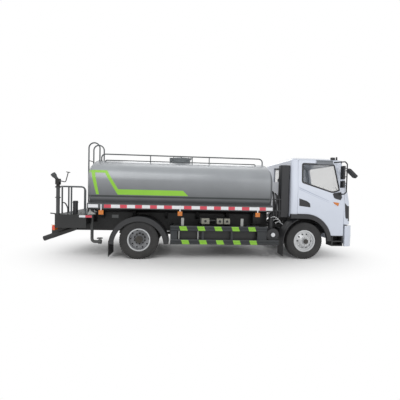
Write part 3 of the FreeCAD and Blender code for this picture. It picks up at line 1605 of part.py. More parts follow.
def cab():
    """The hollow cab, its doors and windows, cut from one pair of nested hulls."""
    low = float(size.door_bottom) - 60
    wall = float(size.cab_wall)
    outer = cab_hull(0, low)
    hulls["outer"] = outer
    inner = cab_hull(wall, low - 1)
    walls = outer.cut(inner)
    door_panel = walls.common(side_cutter(door_outline(0)))
    door_panel = door_panel.cut(wheel_arch(size.arch_radius))
    window = side_cutter(window_outline(0))
    front_window = Part.Face(rounded_wire(
        [(-1010, 1665, 90), (1010, 1665, 90), (950, 2650, 90), (-950, 2650, 90)], "yz"
    )).extrude(Vector(700, 0, 0))
    front_window.translate(Vector(float(size.cab_front_x) - 480, 0, 0))
    back_window = Part.Face(rounded_wire(
        [(-340, 2150, 50), (340, 2150, 50), (340, 2600, 50), (-340, 2600, 50)], "yz"
    )).extrude(Vector(300, 0, 0))
    back_window.translate(Vector(float(size.cab_rear_x) - 100, 0, 0))

    door = door_panel.cut(window)
    keep("door_right", free_shape("door_panel_right", door))
    keep("door_left", free_shape("door_panel_left", mirror_shape(door)))

    skin_out = cab_hull(float(size.glass_inset), low)
    skin_in = cab_hull(float(size.glass_inset) + float(size.glass_wall), low - 1)
    glass = skin_out.cut(skin_in)
    pane = glass.common(window)
    keep("door_glass_right", free_shape("pane_right", pane))
    keep("door_glass_left", free_shape("pane_left", mirror_shape(pane)))
    panes = [glass.common(front_window), glass.common(back_window)]
    keep("cab_glass", free_shape("cab_panes", Part.makeCompound(panes)))

    opening = side_cutter(door_outline(float(size.door_gap)))
    floor = float(size.cab_floor)
    floor_slab = Part.makeBox(3000, 4000, float(size.cab_floor_wall),
                              Vector(float(size.cab_rear_x) - 10, -2000, floor))
    shell = walls.cut(opening).cut(mirror_shape(opening))
    below_rear = Part.makeBox(float(size.door_front_x - size.cab_rear_x) + 20, 4000, 1000,
                              Vector(float(size.cab_rear_x) - 10, -2000, floor - 1000))
    below_front = Part.makeBox(1000, 4000, 1000,
                               Vector(float(size.door_front_x), -2000,
                                      float(size.cab_lip) - 1000))
    trim = arch_trim_shape()
    notch = Part.makeBox(300, float(size.frame_flange) + 14, floor - float(size.cab_lip),
                         Vector(float(size.cab_front_x) - 200,
                                -float(size.frame_width) / 2 - 7, float(size.cab_lip)))
    cutters = [front_window, back_window, below_rear, below_front]
    for cutter in cutters + [trim, mirror_shape(trim), notch, mirror_shape(notch)]:
        shell = shell.cut(cutter)
    lug = Part.makeBox(64, 44, floor - float(size.pivot_z) + 33,
                       Vector(float(size.pivot_x) - 32, -482, float(size.pivot_z) - 33))
    bore = Part.makeCylinder(float(size.pivot_radius + size.turning_gap), 100,
                             Vector(float(size.pivot_x), -524, float(size.pivot_z)),
                             Vector(0, 1, 0))
    lug = lug.cut(bore)
    floor_plate = inner.common(floor_slab).cut(trim).cut(mirror_shape(trim))
    shell = shell.multiFuse([floor_plate, lug, mirror_shape(lug)])
    keep("cab_shell", free_shape("cab_body", shell))
    grille_skin = cab_hull(-16, low).cut(outer)
    window_box = Part.makeBox(400, 2080, 560, Vector(float(size.cab_front_x) - 130, -1040, 1012))
    grille = grille_skin.common(window_box)
    for i in range(4):
        slot = Part.makeBox(400, 1500, 46, Vector(float(size.cab_front_x) - 130, -750,
                                                  1085 + i * 112))
        grille = grille.cut(slot)
    grille = grille.cut([notch, mirror_shape(notch)])
    trims = Part.makeCompound([trim, mirror_shape(trim)] + grille.Solids)
    keep("cab_trims", free_shape("trim_panels", trims))


def arch_trim_shape():
    """The black lip over the front wheel: a quarter ring and a level run to the back."""
    x = float(front_axle_x)
    z = float(size.tyre_radius)
    outer = float(size.trim_outer_radius)
    inner = float(size.trim_inner_radius)
    half = float(size.cab_half_width)
    wall = float(size.cab_wall)
    proud = float(size.trim_proud)
    y = -half - proud
    depth = wall + proud
    ring = Part.makeCylinder(outer, depth, Vector(x, y, z), Vector(0, 1, 0))
    ring = ring.cut(Part.makeCylinder(inner, depth + 2, Vector(x, y - 1, z), Vector(0, 1, 0)))
    quarter = Part.makeBox(outer + 10, depth + 4, outer + 10, Vector(x, y - 2, z + 10))
    back = Part.makeBox(x - float(size.cab_rear_x), depth, outer - inner,
                        Vector(float(size.cab_rear_x), y, z + inner))
    return ring.common(quarter).fuse(back).removeSplitter()


def cab_interior():
    """Two seats, the dashboard and the steering wheel, seen through the windows."""
    floor = float(size.cab_floor) + float(size.cab_floor_wall)
    solids = []
    for y in (-520, 520):
        base = Part.makeBox(500, 480, 330, Vector(2760, y - 240, floor))
        back = Part.Face(rounded_wire(
            [(2700, floor + 300, 40), (2880, floor + 300, 40), (2760, floor + 1080, 60),
             (2600, floor + 1080, 60)], "xz")).extrude(Vector(0, 460, 0))
        back.translate(Vector(0, y - 230, 0))
        solids.append(base.fuse(back).removeSplitter())
    dash = Part.Face(rounded_wire(
        [(3700, floor, 20), (3950, floor, 20), (3950, floor + 420, 60), (3640, floor + 420, 70)],
        "xz")).extrude(Vector(0, 1700, 0))
    dash.translate(Vector(0, -850, 0))
    wheel_centre = Vector(3520, 520, floor + 560)
    tilt = Vector(-0.55, 0, 0.83)
    ring = Part.makeTorus(215, 16, wheel_centre, tilt)
    column = Part.makeCylinder(26, 330, wheel_centre, tilt * -1)
    spoke = Part.makeBox(430, 30, 18, Vector(-215, -15, -9))
    spoke_two = Part.makeBox(30, 430, 18, Vector(-15, -215, -9))
    for piece in (spoke, spoke_two):
        piece.Placement = Placement(wheel_centre, Rotation(Vector(0, 0, 1), tilt))
    dash = dash.multiFuse([ring, column, spoke, spoke_two]).removeSplitter()
    solids.append(dash)
    return keep("cab_interior", free_shape("interior", Part.makeCompound(solids)))


def mirrors():
    """A bent arm with two mirror heads on each door, and a front-down mirror on the right."""
    x = float(size.mirror_x)
    y = -float(size.mirror_y)
    top = float(size.mirror_top)
    low = float(size.mirror_bottom)
    inner = -float(size.cab_half_width) + 50
    arm = tube([(x - 245, inner + 50, top), (x - 60, y, top), (x, y, top - 60),
                (x, y, low + 60), (x - 60, y, low), (x - 60, inner, low)], 16, 28)
    arm = arm.cut(hulls["outer"])
    main = Part.makeBox(50, 150, 357, Vector(x - 105, y - 20, 2225))
    wide = Part.makeBox(50, 150, 185, Vector(x - 105, y - 20, 1995))
    links = [bar((x - 60, y + 20, z), (x, y, z), 10) for z in (2290, 2520, 2050, 2120)]
    side = welded([arm, main, wide] + links)
    way = Vector(0.67, 0, 0.745)
    head = Vector(x + 160, y + 40, 2389)
    disc = Part.makeCylinder(163, 56, head - way * 28, way)
    oval = Part.makeBox(600, 180, 600, head - Vector(300, 90, 300))
    stay = bar((x, y, 2500), tuple(head - way * 10), 12)
    right = welded([side, disc.common(oval), stay])
    keep("mirror_right", free_shape("mirror_arm_right", right))
    keep("mirror_left", free_shape("mirror_arm_left", mirror_shape(side)))


def bumper_form(inset):
    """The bumper's closed form, moved in by a wall: plan and side outlines combined."""
    rear = float(size.bumper_rear_x)
    low = float(size.bumper_bottom)
    top = float(size.bumper_top)
    half = float(size.cab_half_width) + 25
    face = float(size.bumper_front_x) - inset
    side = half - inset
    bow = float(size.bumper_bow)
    plan = rounded_wire(
        [(rear - inset, -side, 0), (face - bow, -side, 190), (face, -side * 0.55, 700),
         (face, side * 0.55, 700), (face - bow, side, 190), (rear - inset, side, 0)], "xy")
    block = Part.Face(plan).extrude(Vector(0, 0, top + 40))
    profile = rounded_wire(
        [(rear - 100, low - 1, 0), (face - 70, low - 1, 60), (face + 6, low + 140, 160),
         (face + 6, top - 230, 120), (face - 75, top + 1, 40), (rear - 100, top + 1, 0)], "xz")
    cutter = Part.Face(profile).extrude(Vector(0, 3 * half, 0))
    cutter.translate(Vector(0, -1.5 * half, 0))
    return block.common(cutter)


def front_bumper():
    """A hollow bumper with a bulging face and returns to the entry steps."""
    low = float(size.bumper_bottom)
    top = float(size.bumper_top)
    rear = float(size.bumper_rear_x)
    inside = float(size.bumper_front_x - size.bumper_wall)
    shell = bumper_form(0).cut(bumper_form(float(size.bumper_wall)))
    limits = Part.makeBox(1000, 4000, top - low, Vector(rear, -2000, low))
    shell = shell.common(limits)
    mounts = []
    for y in (-float(size.frame_width) / 2, float(rail_flange_y)):
        mounts.append(
            Part.makeBox(inside - float(size.frame_front_x) + 25, float(size.frame_flange), 160,
                         Vector(float(size.frame_front_x), y, float(frame_bottom) + 40))
        )
    return keep("front_bumper", free_shape("bumper", welded([shell] + mounts)))


def lamps():
    """Headlamps on the bumper, marker lamps under the ledges, lamps at the rear."""
    skin = bumper_form(-float(size.lens_proud)).cut(bumper_form(0))
    lenses = []
    for y in (-1060, 700):
        window = Part.makeBox(600, 360, 150,
                              Vector(float(size.bumper_rear_x) + 60, y, 600))
        lenses.append(skin.common(window))
    keep("headlamps", free_shape("head_lenses", Part.makeCompound(lenses)))
    pieces = []
    face = -size.ledge_half_width
    for i, x in enumerate((-2700, -687, 1379)):
        plate = box(f"marker_plate_{i}", x - 18, x + 18, face + 4, face + 12, 1220,
                    size.ledge_bottom)
        lens = box(f"marker_lens_{i}", x - 60, x + 60, face - 14, face + 22, 1160, 1272)
        pieces.append(fuse(f"marker_{i}", [plate, lens]))
    rear_x = size.platform_rear_x
    pieces.append(
        fuse("rear_lamp", [
            box("rear_lens", rear_x - 62, rear_x, -1190, -1000, 735, 860),
            box("rear_lamp_hood", rear_x - 90, rear_x, -1190, -1180, 860, 872),
        ])
    )
    solids = []
    for piece in pieces:
        solids += [piece, mirrored(piece.Name + "_left", piece)]
    return keep("marker_lamps", group("all_markers", solids))


def cab_steps():
    """Entry steps under the doors, open to the side, bracketed to the side rails."""
    x0 = size.step_rear_x
    x1 = size.door_front_x
    y0 = -size.cab_half_width + 4
    low = size.step_bottom
    top = size.step_top
    block = box("step_block", x0, x1, y0, y0 + 300, low, top)
    well = box("step_well", x0 + 30, x1 - 30, y0 - 10, y0 + 230, low + 150, top - 12)
    lower = box("step_lower", x0 + 30, x1 - 30, y0 - 10, y0 + 200, low + 30, low + 118)
    open_block = cut("step_open", cut("step_upper_open", block, well), lower)
    bracket = box("step_bracket", x0 + 140, x0 + 220, y0 + 298, -size.frame_width / 2,
                  frame_bottom + 4, top)
    right = fuse("step_right", [open_block, bracket])
    return keep("cab_steps", pair("steps", right))


def write_steps():
    """Tests every object, then writes each sub-part to its own file."""
    doc.recompute()
    for item in doc.Objects:
        if "Invalid" in item.State or "Error" in item.State:
            raise RuntimeError(f"{item.Name} failed: {item.State}")
    for name, piece in nodes.items():
        shape = piece.Shape
        if shape.isNull() or not shape.isValid() or not shape.Solids:
            raise RuntimeError(f"{name} has no valid solid")
    os.makedirs("parts", exist_ok=True)
    for name, piece in nodes.items():
        piece.Shape.exportStep(f"parts/{name}.step")
    print(f"{len(nodes)} sub-parts written")


for build in (
    chassis_frame,
    engine_block,
    front_axle,
    knuckles,
    rear_axle,
    propeller_shaft,
    wheels,
    tank_shell,
    tank_cradle,
    tank_top_rails,
    rear_ladder,
    manhole,
    rear_platform,
    platform_railing,
    rear_sprinkler,
    water_pipes,
    water_cannon,
    side_guards,
    mudguards,
    side_boxes,
    air_intake,
    cab,
    cab_interior,
    mirrors,
    front_bumper,
    lamps,
    cab_steps,
):
    build()
write_steps()
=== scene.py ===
"""Looks of a two-axle water tanker truck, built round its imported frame."""
import logging
import math
from dataclasses import dataclass, field
from enum import Enum
from typing import Callable, Iterable, Sequence

import bmesh
import bpy
from mathutils import Euler, Matrix, Vector
from mathutils.bvhtree import BVHTree


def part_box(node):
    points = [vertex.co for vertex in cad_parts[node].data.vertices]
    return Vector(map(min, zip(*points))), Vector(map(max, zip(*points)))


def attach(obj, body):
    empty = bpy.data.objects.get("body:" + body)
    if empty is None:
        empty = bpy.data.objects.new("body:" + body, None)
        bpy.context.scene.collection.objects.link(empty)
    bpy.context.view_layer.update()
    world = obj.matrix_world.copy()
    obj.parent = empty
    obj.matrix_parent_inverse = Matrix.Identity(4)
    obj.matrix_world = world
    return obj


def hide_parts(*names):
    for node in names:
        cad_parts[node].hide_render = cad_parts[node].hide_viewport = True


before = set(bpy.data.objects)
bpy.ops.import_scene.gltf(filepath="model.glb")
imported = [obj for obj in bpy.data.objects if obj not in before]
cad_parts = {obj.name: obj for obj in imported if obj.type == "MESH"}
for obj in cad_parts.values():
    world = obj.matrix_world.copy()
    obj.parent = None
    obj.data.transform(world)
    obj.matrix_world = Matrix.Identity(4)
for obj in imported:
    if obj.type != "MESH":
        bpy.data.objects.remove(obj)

LOG = logging.getLogger("tanker")
Point = Sequence[float]
Span = tuple[float, float]
Corner = tuple[float, float, float]
Outline = tuple[Span, ...]
Colour = tuple[float, float, float]
Socket = bpy.types.NodeSocket
Inputs = dict[str | int, object]


class Side(Enum):
    """The two long sides of the truck, with their direction across it."""

    RIGHT = -1
    LEFT = 1

    @property
    def word(self) -> str:
        """The side as the names of the frame write it."""
        return self.name.lower()


class Texture(Enum):
    """How a finish varies over its surface."""

    PAINT = "paint"
    METAL = "metal"
    MOULDED = "moulded"
    RUBBER = "rubber"
    CLOTH = "cloth"
    CLEAR = "clear"


GRAIN = {Texture.PAINT: 7, Texture.METAL: 60, Texture.MOULDED: 420, Texture.RUBBER: 160}
GRAIN_DETAIL = 3
WEAVE = 260
RELIEF_DEPTH = 0.004
GLOSS_SPREAD = 0.08
GLOSS_DETAIL = 4
LEAST_ROUGHNESS = 0.02
COAT_ROUGHNESS = 0.12
PANE_SPECULAR = 0.6
CLOUD_SHARE = 1 / 9
CLOUD_DETAIL = 5
CLOUD_EDGES = (0.32, 0.68)
CLOUD_LIFT = 0.002
DUST_PATCHES = 4.5
DUST_DETAIL = 7
DUST_FLOOR = 0.1
EDGE_SHARE = 0.45
EDGE_PROFILE = 0.6
WASHER_HEIGHT = 0.25
WASHER_WIDTH = 1.5
HEAD_TAPER = 0.92


def srgb(red: int, green: int, blue: int) -> Colour:
    """Turns display values into linear light.

    Args:
        red: The red value from 0 to 255.
        green: The green value.
        blue: The blue value.

    Returns:
        The linear colour.
    """
    def channel(value: int) -> float:
        """One channel as linear light."""
        part = value / 255
        return part / 12.92 if part <= 0.04045 else ((part + 0.055) / 1.055) ** 2.4

    return channel(red), channel(green), channel(blue)


DUST = srgb(128, 122, 112)


class Wiring:
    """Adds nodes to a node tree, and sets and joins their inputs."""

    def __init__(self, tree: bpy.types.NodeTree) -> None:
        """Keeps the tree that the nodes go into."""
        self.tree = tree

    def fill(self, node: bpy.types.Node, inputs: Inputs) -> bpy.types.Node:
        """Sets inputs to values, or joins sockets to them.

        Args:
            node: The node whose inputs are filled.
            inputs: A value or a socket for each input.

        Returns:
            The node itself.
        """
        for key, value in inputs.items():
            if isinstance(value, Socket):
                self.tree.links.new(value, node.inputs[key])
            else:
                node.inputs[key].default_value = value
        return node

    def add(self, kind: str, inputs: Inputs) -> bpy.types.Node:
        """Adds a node with its inputs filled."""
        return self.fill(self.tree.nodes.new(kind), inputs)

    def maths(self, kind: str, operation: str, inputs: Inputs) -> bpy.types.Node:
        """Adds a node that reckons with its inputs.

        Args:
            kind: Blender's name for the node.
            operation: How it reckons.
            inputs: What it reckons with.

        Returns:
            The new node.
        """
        node = self.add(kind, inputs)
        node.operation = operation
        return node

    def noise(self, place: Socket, scale: float, detail: float) -> Socket:
        """Even noise over the surface.

        Args:
            place: The place on the surface.
            scale: How fine it is.
            detail: How many finer layers it has.

        Returns:
            The socket of its strength.
        """
        inputs = {"Vector": place, "Scale": scale, "Detail": detail}
        return self.add("ShaderNodeTexNoise", inputs).outputs["Fac"]

    def height(self, place: Socket, bottom: float, top: float, most: float = 1.0) -> Socket:
        """A value that grows with the height above the ground.

        Args:
            place: The place on the surface.
            bottom: The height where it is zero.
            top: The height where it is greatest.
            most: Its greatest value.

        Returns:
            The socket of the value.
        """
        axes = self.add("ShaderNodeSeparateXYZ", {"Vector": place})
        inputs = {"Value": axes.outputs["Z"], "From Min": bottom, "From Max": top,
                  "To Max": most}
        return self.add("ShaderNodeMapRange", inputs).outputs["Result"]


@dataclass(frozen=True)
class Finish:
    """A surface finish with its grain, its gloss and the road dirt it carries."""

    name: str
    colour: Colour
    slot: str
    texture: Texture = Texture.PAINT
    roughness: float = 0.4
    metallic: float = 0.0
    coat: float = 0.0
    variation: float = 0.06
    bump: float = 0.05
    scale: float = 18.0
    dirt: float = 0.12
    dirt_top: float = 1.3
    alpha: float = 1.0

    def material(self) -> bpy.types.Material:
        """Builds the node material, or returns the one already built.

        Returns:
            The material of this finish.
        """
        made = bpy.data.materials.get(self.name)
        if made:
            return made
        made = bpy.data.materials.new(self.name)
        made.use_nodes = True
        wiring = Wiring(made.node_tree)
        place = wiring.add("ShaderNodeTexCoord", {}).outputs["Object"]
        shader = wiring.fill(made.node_tree.nodes["Principled BSDF"], {
            "Base Color": self.dust_and_painted_shade(wiring, place, self.clouded(wiring, place)),
            "Roughness": self.gloss(wiring, place), "Metallic": self.metallic,
            "Coat Weight": self.coat, "Coat Roughness": COAT_ROUGHNESS})
        if self.texture is Texture.CLEAR:
            wiring.fill(shader, {"Alpha": self.alpha, "Specular IOR Level": PANE_SPECULAR})
        else:
            wiring.fill(shader, {"Normal": self.relief(wiring, place)})
        return made

    def clouded(self, wiring: Wiring, place: Socket) -> Socket:
        """Varies the colour in soft clouds.

        Args:
            wiring: The material's wiring.
            place: The place on the surface.

        Returns:
            The socket of the clean colour.
        """
        ramp = wiring.add("ShaderNodeValToRGB", {
            "Fac": wiring.noise(place, self.scale * CLOUD_SHARE, CLOUD_DETAIL)})
        low = tuple(c * (1 - self.variation) for c in self.colour)
        high = tuple(min(1, c * (1 + self.variation) + CLOUD_LIFT) for c in self.colour)
        for step, edge, colour in zip(ramp.color_ramp.elements, CLOUD_EDGES, (low, high)):
            step.position = edge
            step.color = (*colour, 1)
        return ramp.outputs["Color"]

    def dust_and_painted_shade(self, wiring: Wiring, place: Socket, colour: Socket) -> Socket:
        """Lays dust over a colour, thicker towards the road.

        Args:
            wiring: The material's wiring.
            place: The place on the surface.
            colour: The clean colour.

        Returns:
            The socket of the dusty colour.
        """
        share = wiring.maths("ShaderNodeMath", "MULTIPLY", {
            0: wiring.height(place, self.dirt_top, DUST_FLOOR, self.dirt),
            1: wiring.noise(place, DUST_PATCHES, DUST_DETAIL)})
        return wiring.add("ShaderNodeMixRGB", {
            "Fac": share.outputs["Value"], "Color1": colour,
            "Color2": (*DUST, 1)}).outputs["Color"]

    def gloss(self, wiring: Wiring, place: Socket) -> Socket:
        """Makes the gloss uneven.

        Args:
            wiring: The material's wiring.
            place: The place on the surface.

        Returns:
            The socket of the roughness.
        """
        return wiring.add("ShaderNodeMapRange", {
            "Value": wiring.noise(place, self.scale, GLOSS_DETAIL),
            "To Min": max(LEAST_ROUGHNESS, self.roughness - GLOSS_SPREAD),
            "To Max": min(1.0, self.roughness + GLOSS_SPREAD)}).outputs["Result"]

    def relief(self, wiring: Wiring, place: Socket) -> Socket:
        """Makes the fine relief of the finish, a weave on cloth.

        Args:
            wiring: The material's wiring.
            place: The place on the surface.

        Returns:
            The socket of the surface's direction.
        """
        if self.texture is Texture.CLOTH:
            weave = wiring.add("ShaderNodeTexVoronoi", {"Vector": place, "Scale": WEAVE})
            height = weave.outputs["Distance"]
        else:
            height = wiring.noise(place, GRAIN[self.texture], GRAIN_DETAIL)
        return wiring.add("ShaderNodeBump", {
            "Strength": self.bump, "Distance": RELIEF_DEPTH,
            "Height": height}).outputs["Normal"]


@dataclass(frozen=True)
class TankFinish(Finish):
    """Grey tank paint with painted shade that darkens it downwards, standing in for the dark ground
    it reflects, and black under the side ledges.
    """

    # Painted shade: pairs of height and the share of the colour kept there, darker downwards and
    # black below the ledges.
    shades: Outline = (
        (1.30, 0.04), (1.33, 0.20), (1.48, 0.24), (1.60, 0.30), (1.80, 0.42),
        (2.10, 0.60), (2.35, 0.82), (2.48, 0.95))

    def dust_and_painted_shade(self, wiring: Wiring, place: Socket, colour: Socket) -> Socket:
        """Darkens the paint by its height as painted shade, then lays the dust.

        Args:
            wiring: The material's wiring.
            place: The place on the surface.
            colour: The clean colour.

        Returns:
            The socket of the finished colour.
        """
        low, high = self.shades[0][0], self.shades[-1][0]
        ramp = wiring.add("ShaderNodeValToRGB", {"Fac": wiring.height(place, low, high)})
        steps = ramp.color_ramp.elements
        while len(steps) < len(self.shades):
            steps.new(0.5)
        for step, (level, share) in zip(steps, self.shades):
            step.position = (level - low) / (high - low)
            step.color = (share, share, share, 1)
        # Painted shade: multiplies the paint by the grey of the height ramp.
        mix = wiring.add("ShaderNodeMixRGB", {
            "Fac": 1, "Color1": colour, "Color2": ramp.outputs["Color"]})
        mix.blend_type = "MULTIPLY"
        return super().dust_and_painted_shade(wiring, place, mix.outputs["Color"])


CAB_WHITE = Finish("cab_white_paint", srgb(190, 196, 208), "white_paint", roughness=0.3,
                   coat=0.5, variation=0.02, bump=0.02, dirt=0.16)
BLACK_PAINT = Finish("frame_black_paint", srgb(20, 21, 22), "chassis_black", roughness=0.5,
                     variation=0.25, dirt=0.05, bump=0.08)
GREEN = Finish("leaf_green_film", srgb(126, 180, 48), "tank_paint", roughness=0.4,
               variation=0.05, dirt=0.05)
# Painted shade: a dark line standing for the shade in the tank's waist crease.
TANK_CREASE_SHADE = Finish("tank_crease_painted_shade", srgb(46, 50, 51), "tank_paint", roughness=0.5,
                   variation=0.12, dirt=0.05)
TAPE_RED = Finish("reflective_red", srgb(188, 52, 70), "tank_paint", roughness=0.35,
                  coat=0.4, variation=0.06, scale=60, dirt=0.1)
TAPE_WHITE = Finish("reflective_white", srgb(206, 208, 211), "tank_paint", roughness=0.35,
                    coat=0.4, variation=0.03, scale=60, dirt=0.1)
# The tank's colour is darkened downwards by painted shade, standing in for the dark ground it
# reflects.
TANK = TankFinish("tank_grey_paint_painted_shade", srgb(158, 162, 166), "tank_paint", roughness=0.36,
                  metallic=0.25, coat=0.3, variation=0.05, bump=0.03, dirt=0.1)
LID = Finish("lid_grey_paint", srgb(104, 109, 112), "tank_paint", roughness=0.45,
             metallic=0.2, variation=0.1, dirt=0.0)
PIPE_GREY = Finish("pipe_grey_paint", srgb(52, 54, 55), "grey_paint", roughness=0.45,
                   variation=0.12, dirt=0.2)
PALE_GREY = Finish("pale_grey_paint", srgb(142, 144, 141), "grey_paint", roughness=0.5,
                   variation=0.08, dirt=0.2)
BEIGE = Finish("valve_beige_paint", srgb(140, 140, 128), "grey_paint", roughness=0.5,
               variation=0.1, dirt=0.3)
CHEQUER = Finish("chequer_plate", srgb(120, 122, 122), "grey_paint", roughness=0.5,
                 metallic=0.3, variation=0.15, bump=0.3, scale=60, dirt=0.3)
# Painted shade: pale grey bands standing for the shading of the creases pressed in the doors.
DOOR_CREASE_SHADE = Finish("pale_side_stripe", srgb(158, 166, 182), "white_paint", roughness=0.35,
                variation=0.03, dirt=0.0)
RAIL = Finish("dull_rail_tube", srgb(74, 78, 80), "rail_steel", Texture.METAL, roughness=0.4,
              metallic=0.55, variation=0.12, bump=0.04)
GUARD = Finish("dark_guard_rail", srgb(46, 49, 52), "rail_steel", Texture.METAL,
               roughness=0.45, metallic=0.4, variation=0.12, bump=0.05, dirt=0.07)
STEEL = Finish("bright_steel", srgb(196, 197, 198), "rail_steel", Texture.METAL,
               roughness=0.25, metallic=0.9, variation=0.06, bump=0.05)
CAST = Finish("dark_cast_iron", srgb(40, 39, 38), "cast_dark", Texture.METAL, roughness=0.6,
              metallic=0.4, variation=0.3, bump=0.25, dirt=0.5)
PLASTIC = Finish("black_moulded_plastic", srgb(30, 31, 34), "black_plastic", Texture.MOULDED,
                 roughness=0.55, variation=0.1, bump=0.12, dirt=0.07)
VISOR = Finish("smoked_visor", srgb(96, 100, 106), "black_plastic", Texture.MOULDED,
               roughness=0.25, variation=0.06, bump=0.01, dirt=0.0)
RUBBER = Finish("tyre_black_rubber", srgb(34, 34, 35), "tyre_rubber", Texture.RUBBER,
                roughness=0.8, variation=0.18, bump=0.2, scale=40, dirt=0.09, dirt_top=1.1)
RIM = Finish("wheel_silver_paint", srgb(186, 188, 190), "rim_silver", roughness=0.38,
             metallic=0.35, variation=0.07, dirt=0.2, scale=40)
RIM_DULL = Finish("wheel_dull_paint", srgb(150, 152, 156), "rim_silver", roughness=0.5,
                  metallic=0.3, variation=0.14, dirt=0.3, scale=40)
GLASS = Finish("window_glass_pane", srgb(58, 66, 66), "window_glass", Texture.CLEAR,
               roughness=0.08, variation=0.03, dirt=0.0, alpha=0.12)
LENS = Finish("lamp_clear_lens", srgb(222, 228, 232), "head_lens", Texture.MOULDED,
              roughness=0.12, variation=0.03, coat=0.6, dirt=0.05, bump=0.02)
AMBER = Finish("amber_lens", srgb(186, 104, 18), "lamp_lens", Texture.MOULDED,
               roughness=0.2, coat=0.5, variation=0.1, scale=120, bump=0.1, dirt=0.1)
RED_LENS = Finish("red_lens", srgb(206, 62, 32), "lamp_lens", Texture.MOULDED,
                  roughness=0.2, coat=0.5, variation=0.1, scale=120, bump=0.1, dirt=0.1)
CLOTH = Finish("dark_seat_cloth", srgb(48, 50, 54), "seat_cloth", Texture.CLOTH,
               roughness=0.9, variation=0.12, bump=0.25, dirt=0.0)


class Forge:
    """Collects the faces of one piece and turns them into a finished object."""

    def __init__(self, name: str, finish: Finish, body: str = "chassis") -> None:
        """Starts an empty piece.

        Args:
            name: The piece's name.
            finish: What it is painted or moulded in.
            body: The body of the frame it rides on.
        """
        self.name = name
        self.finish = finish
        self.body = body
        self.mesh = bmesh.new()

    def block(self, low: Point, high: Point, bevel: float = 0.004) -> "Forge":
        """Adds a block with rounded edges.

        Args:
            low: Its lowest corner.
            high: Its highest corner.
            bevel: The round of its edges.

        Returns:
            The piece itself.
        """
        span = Vector(high) - Vector(low)
        centre = Matrix.Translation((Vector(low) + Vector(high)) / 2)
        made = bmesh.ops.create_cube(self.mesh, size=1,
                                     matrix=centre @ Matrix.Diagonal((*span, 1)))
        edges = list(dict.fromkeys(
            edge for vert in made["verts"] for edge in vert.link_edges))
        bmesh.ops.bevel(self.mesh, geom=edges, segments=2, affect="EDGES",
                        offset=min(bevel, min(span) * EDGE_SHARE), profile=EDGE_PROFILE)
        return self

    def rod(self, start: Point, end: Point, radius: float, tip: float | None = None,
            count: int = 24) -> "Forge":
        """Adds a round bar or cone between two points.

        Args:
            start: The middle of its first end.
            end: The middle of its other end.
            radius: The radius at the start.
            tip: The radius at the end, where it differs.
            count: The sides of the round.

        Returns:
            The piece itself.
        """
        first, last = Vector(start), Vector(end)
        run = last - first
        turn = run.to_track_quat("Z", "Y").to_matrix().to_4x4()
        bmesh.ops.create_cone(self.mesh, cap_ends=True, segments=count, radius1=radius,
                              radius2=radius if tip is None else tip, depth=run.length,
                              matrix=Matrix.Translation((first + last) / 2) @ turn)
        return self

    def tube(self, points: Iterable[Point], radius: float, count: int = 12,
             closed: bool = False) -> "Forge":
        """Adds a round tube along points.

        Args:
            points: The middle line.
            radius: The tube's radius.
            count: The sides of the round.
            closed: Whether the line ends where it starts.

        Returns:
            The piece itself.
        """
        line = [Vector(p) for p in points]
        total = len(line)
        rings = []
        side = None
        for i, point in enumerate(line):
            before = line[i - 1] if i or closed else point
            after = line[(i + 1) % total] if i < total - 1 or closed else point
            way = (after - before).normalized()
            if side is None:
                side = way.orthogonal().normalized()
            side = (side - way * side.dot(way)).normalized()
            other = way.cross(side)
            rings.append([
                self.mesh.verts.new(point + radius * (side * math.cos(a) + other * math.sin(a)))
                for a in (2 * math.pi * k / count for k in range(count))
            ])
        self.wrapped(rings, closed)
        if not closed:
            self.mesh.faces.new(list(reversed(rings[0])))
            self.mesh.faces.new(rings[-1])
        return self

    def lathe(self, profile: Sequence[Span], centre: Point, count: int = 64,
              radius_at: Callable[[int, int, float], float] | None = None) -> "Forge":
        """Turns a closed profile about an axis across the truck.

        Args:
            profile: Pairs of distance along the axis and radius.
            centre: A point on the axis.
            count: The steps round the axis.
            radius_at: Gives each point's radius from its step, place and plain radius.

        Returns:
            The piece itself.
        """
        x, y, z = centre
        rings = []
        for i in range(count):
            angle = 2 * math.pi * i / count
            ring = []
            for j, (along, radius) in enumerate(profile):
                reach = radius_at(i, j, radius) if radius_at else radius
                ring.append(self.mesh.verts.new(
                    (x + reach * math.cos(angle), y + along, z + reach * math.sin(angle))))
            rings.append(ring)
        self.wrapped(rings, True)
        return self

    def wrapped(self, rings: Sequence[Sequence[bmesh.types.BMVert]], closed: bool) -> None:
        """Joins rings of points to a round skin.

        Args:
            rings: The rings, with as many points each.
            closed: Whether the last ring joins the first.
        """
        for i in range(len(rings) if closed else len(rings) - 1):
            near, far = rings[i], rings[(i + 1) % len(rings)]
            for k in range(len(near)):
                n = (k + 1) % len(near)
                self.mesh.faces.new((near[k], near[n], far[n], far[k]))

    def plate(self, corners: Sequence[Point], thickness: Point) -> "Forge":
        """Adds a flat plate of any outline.

        Args:
            corners: Its outline on one face.
            thickness: The step from that face to the other.

        Returns:
            The piece itself.
        """
        step = Vector(thickness)
        near = [self.mesh.verts.new(Vector(c)) for c in corners]
        far = [self.mesh.verts.new(Vector(c) + step) for c in corners]
        self.mesh.faces.new(near)
        self.mesh.faces.new(list(reversed(far)))
        for i, vert in enumerate(near):
            n = (i + 1) % len(near)
            self.mesh.faces.new((near[n], vert, far[i], far[n]))
        return self

    def skin(self, rows: Sequence[Sequence[Point]]) -> "Forge":
        """Adds a thin film through rows of points.

        Args:
            rows: Rows with the same number of points.

        Returns:
            The piece itself.
        """
        grid = [[self.mesh.verts.new(Vector(p)) for p in row] for row in rows]
        for upper, lower in zip(grid, grid[1:]):
            for k in range(len(upper) - 1):
                self.mesh.faces.new((upper[k], upper[k + 1], lower[k + 1], lower[k]))
        return self

    def strip(self, ends: Span, y: float, heights: Span) -> "Forge":
        """Adds a flat upright film along the truck.

        Args:
            ends: Its rear and front ends.
            y: Its place across the truck.
            heights: Its lower and upper edges.

        Returns:
            The piece itself.
        """
        return self.skin([[(x, y, z) for x in ends] for z in reversed(heights)])

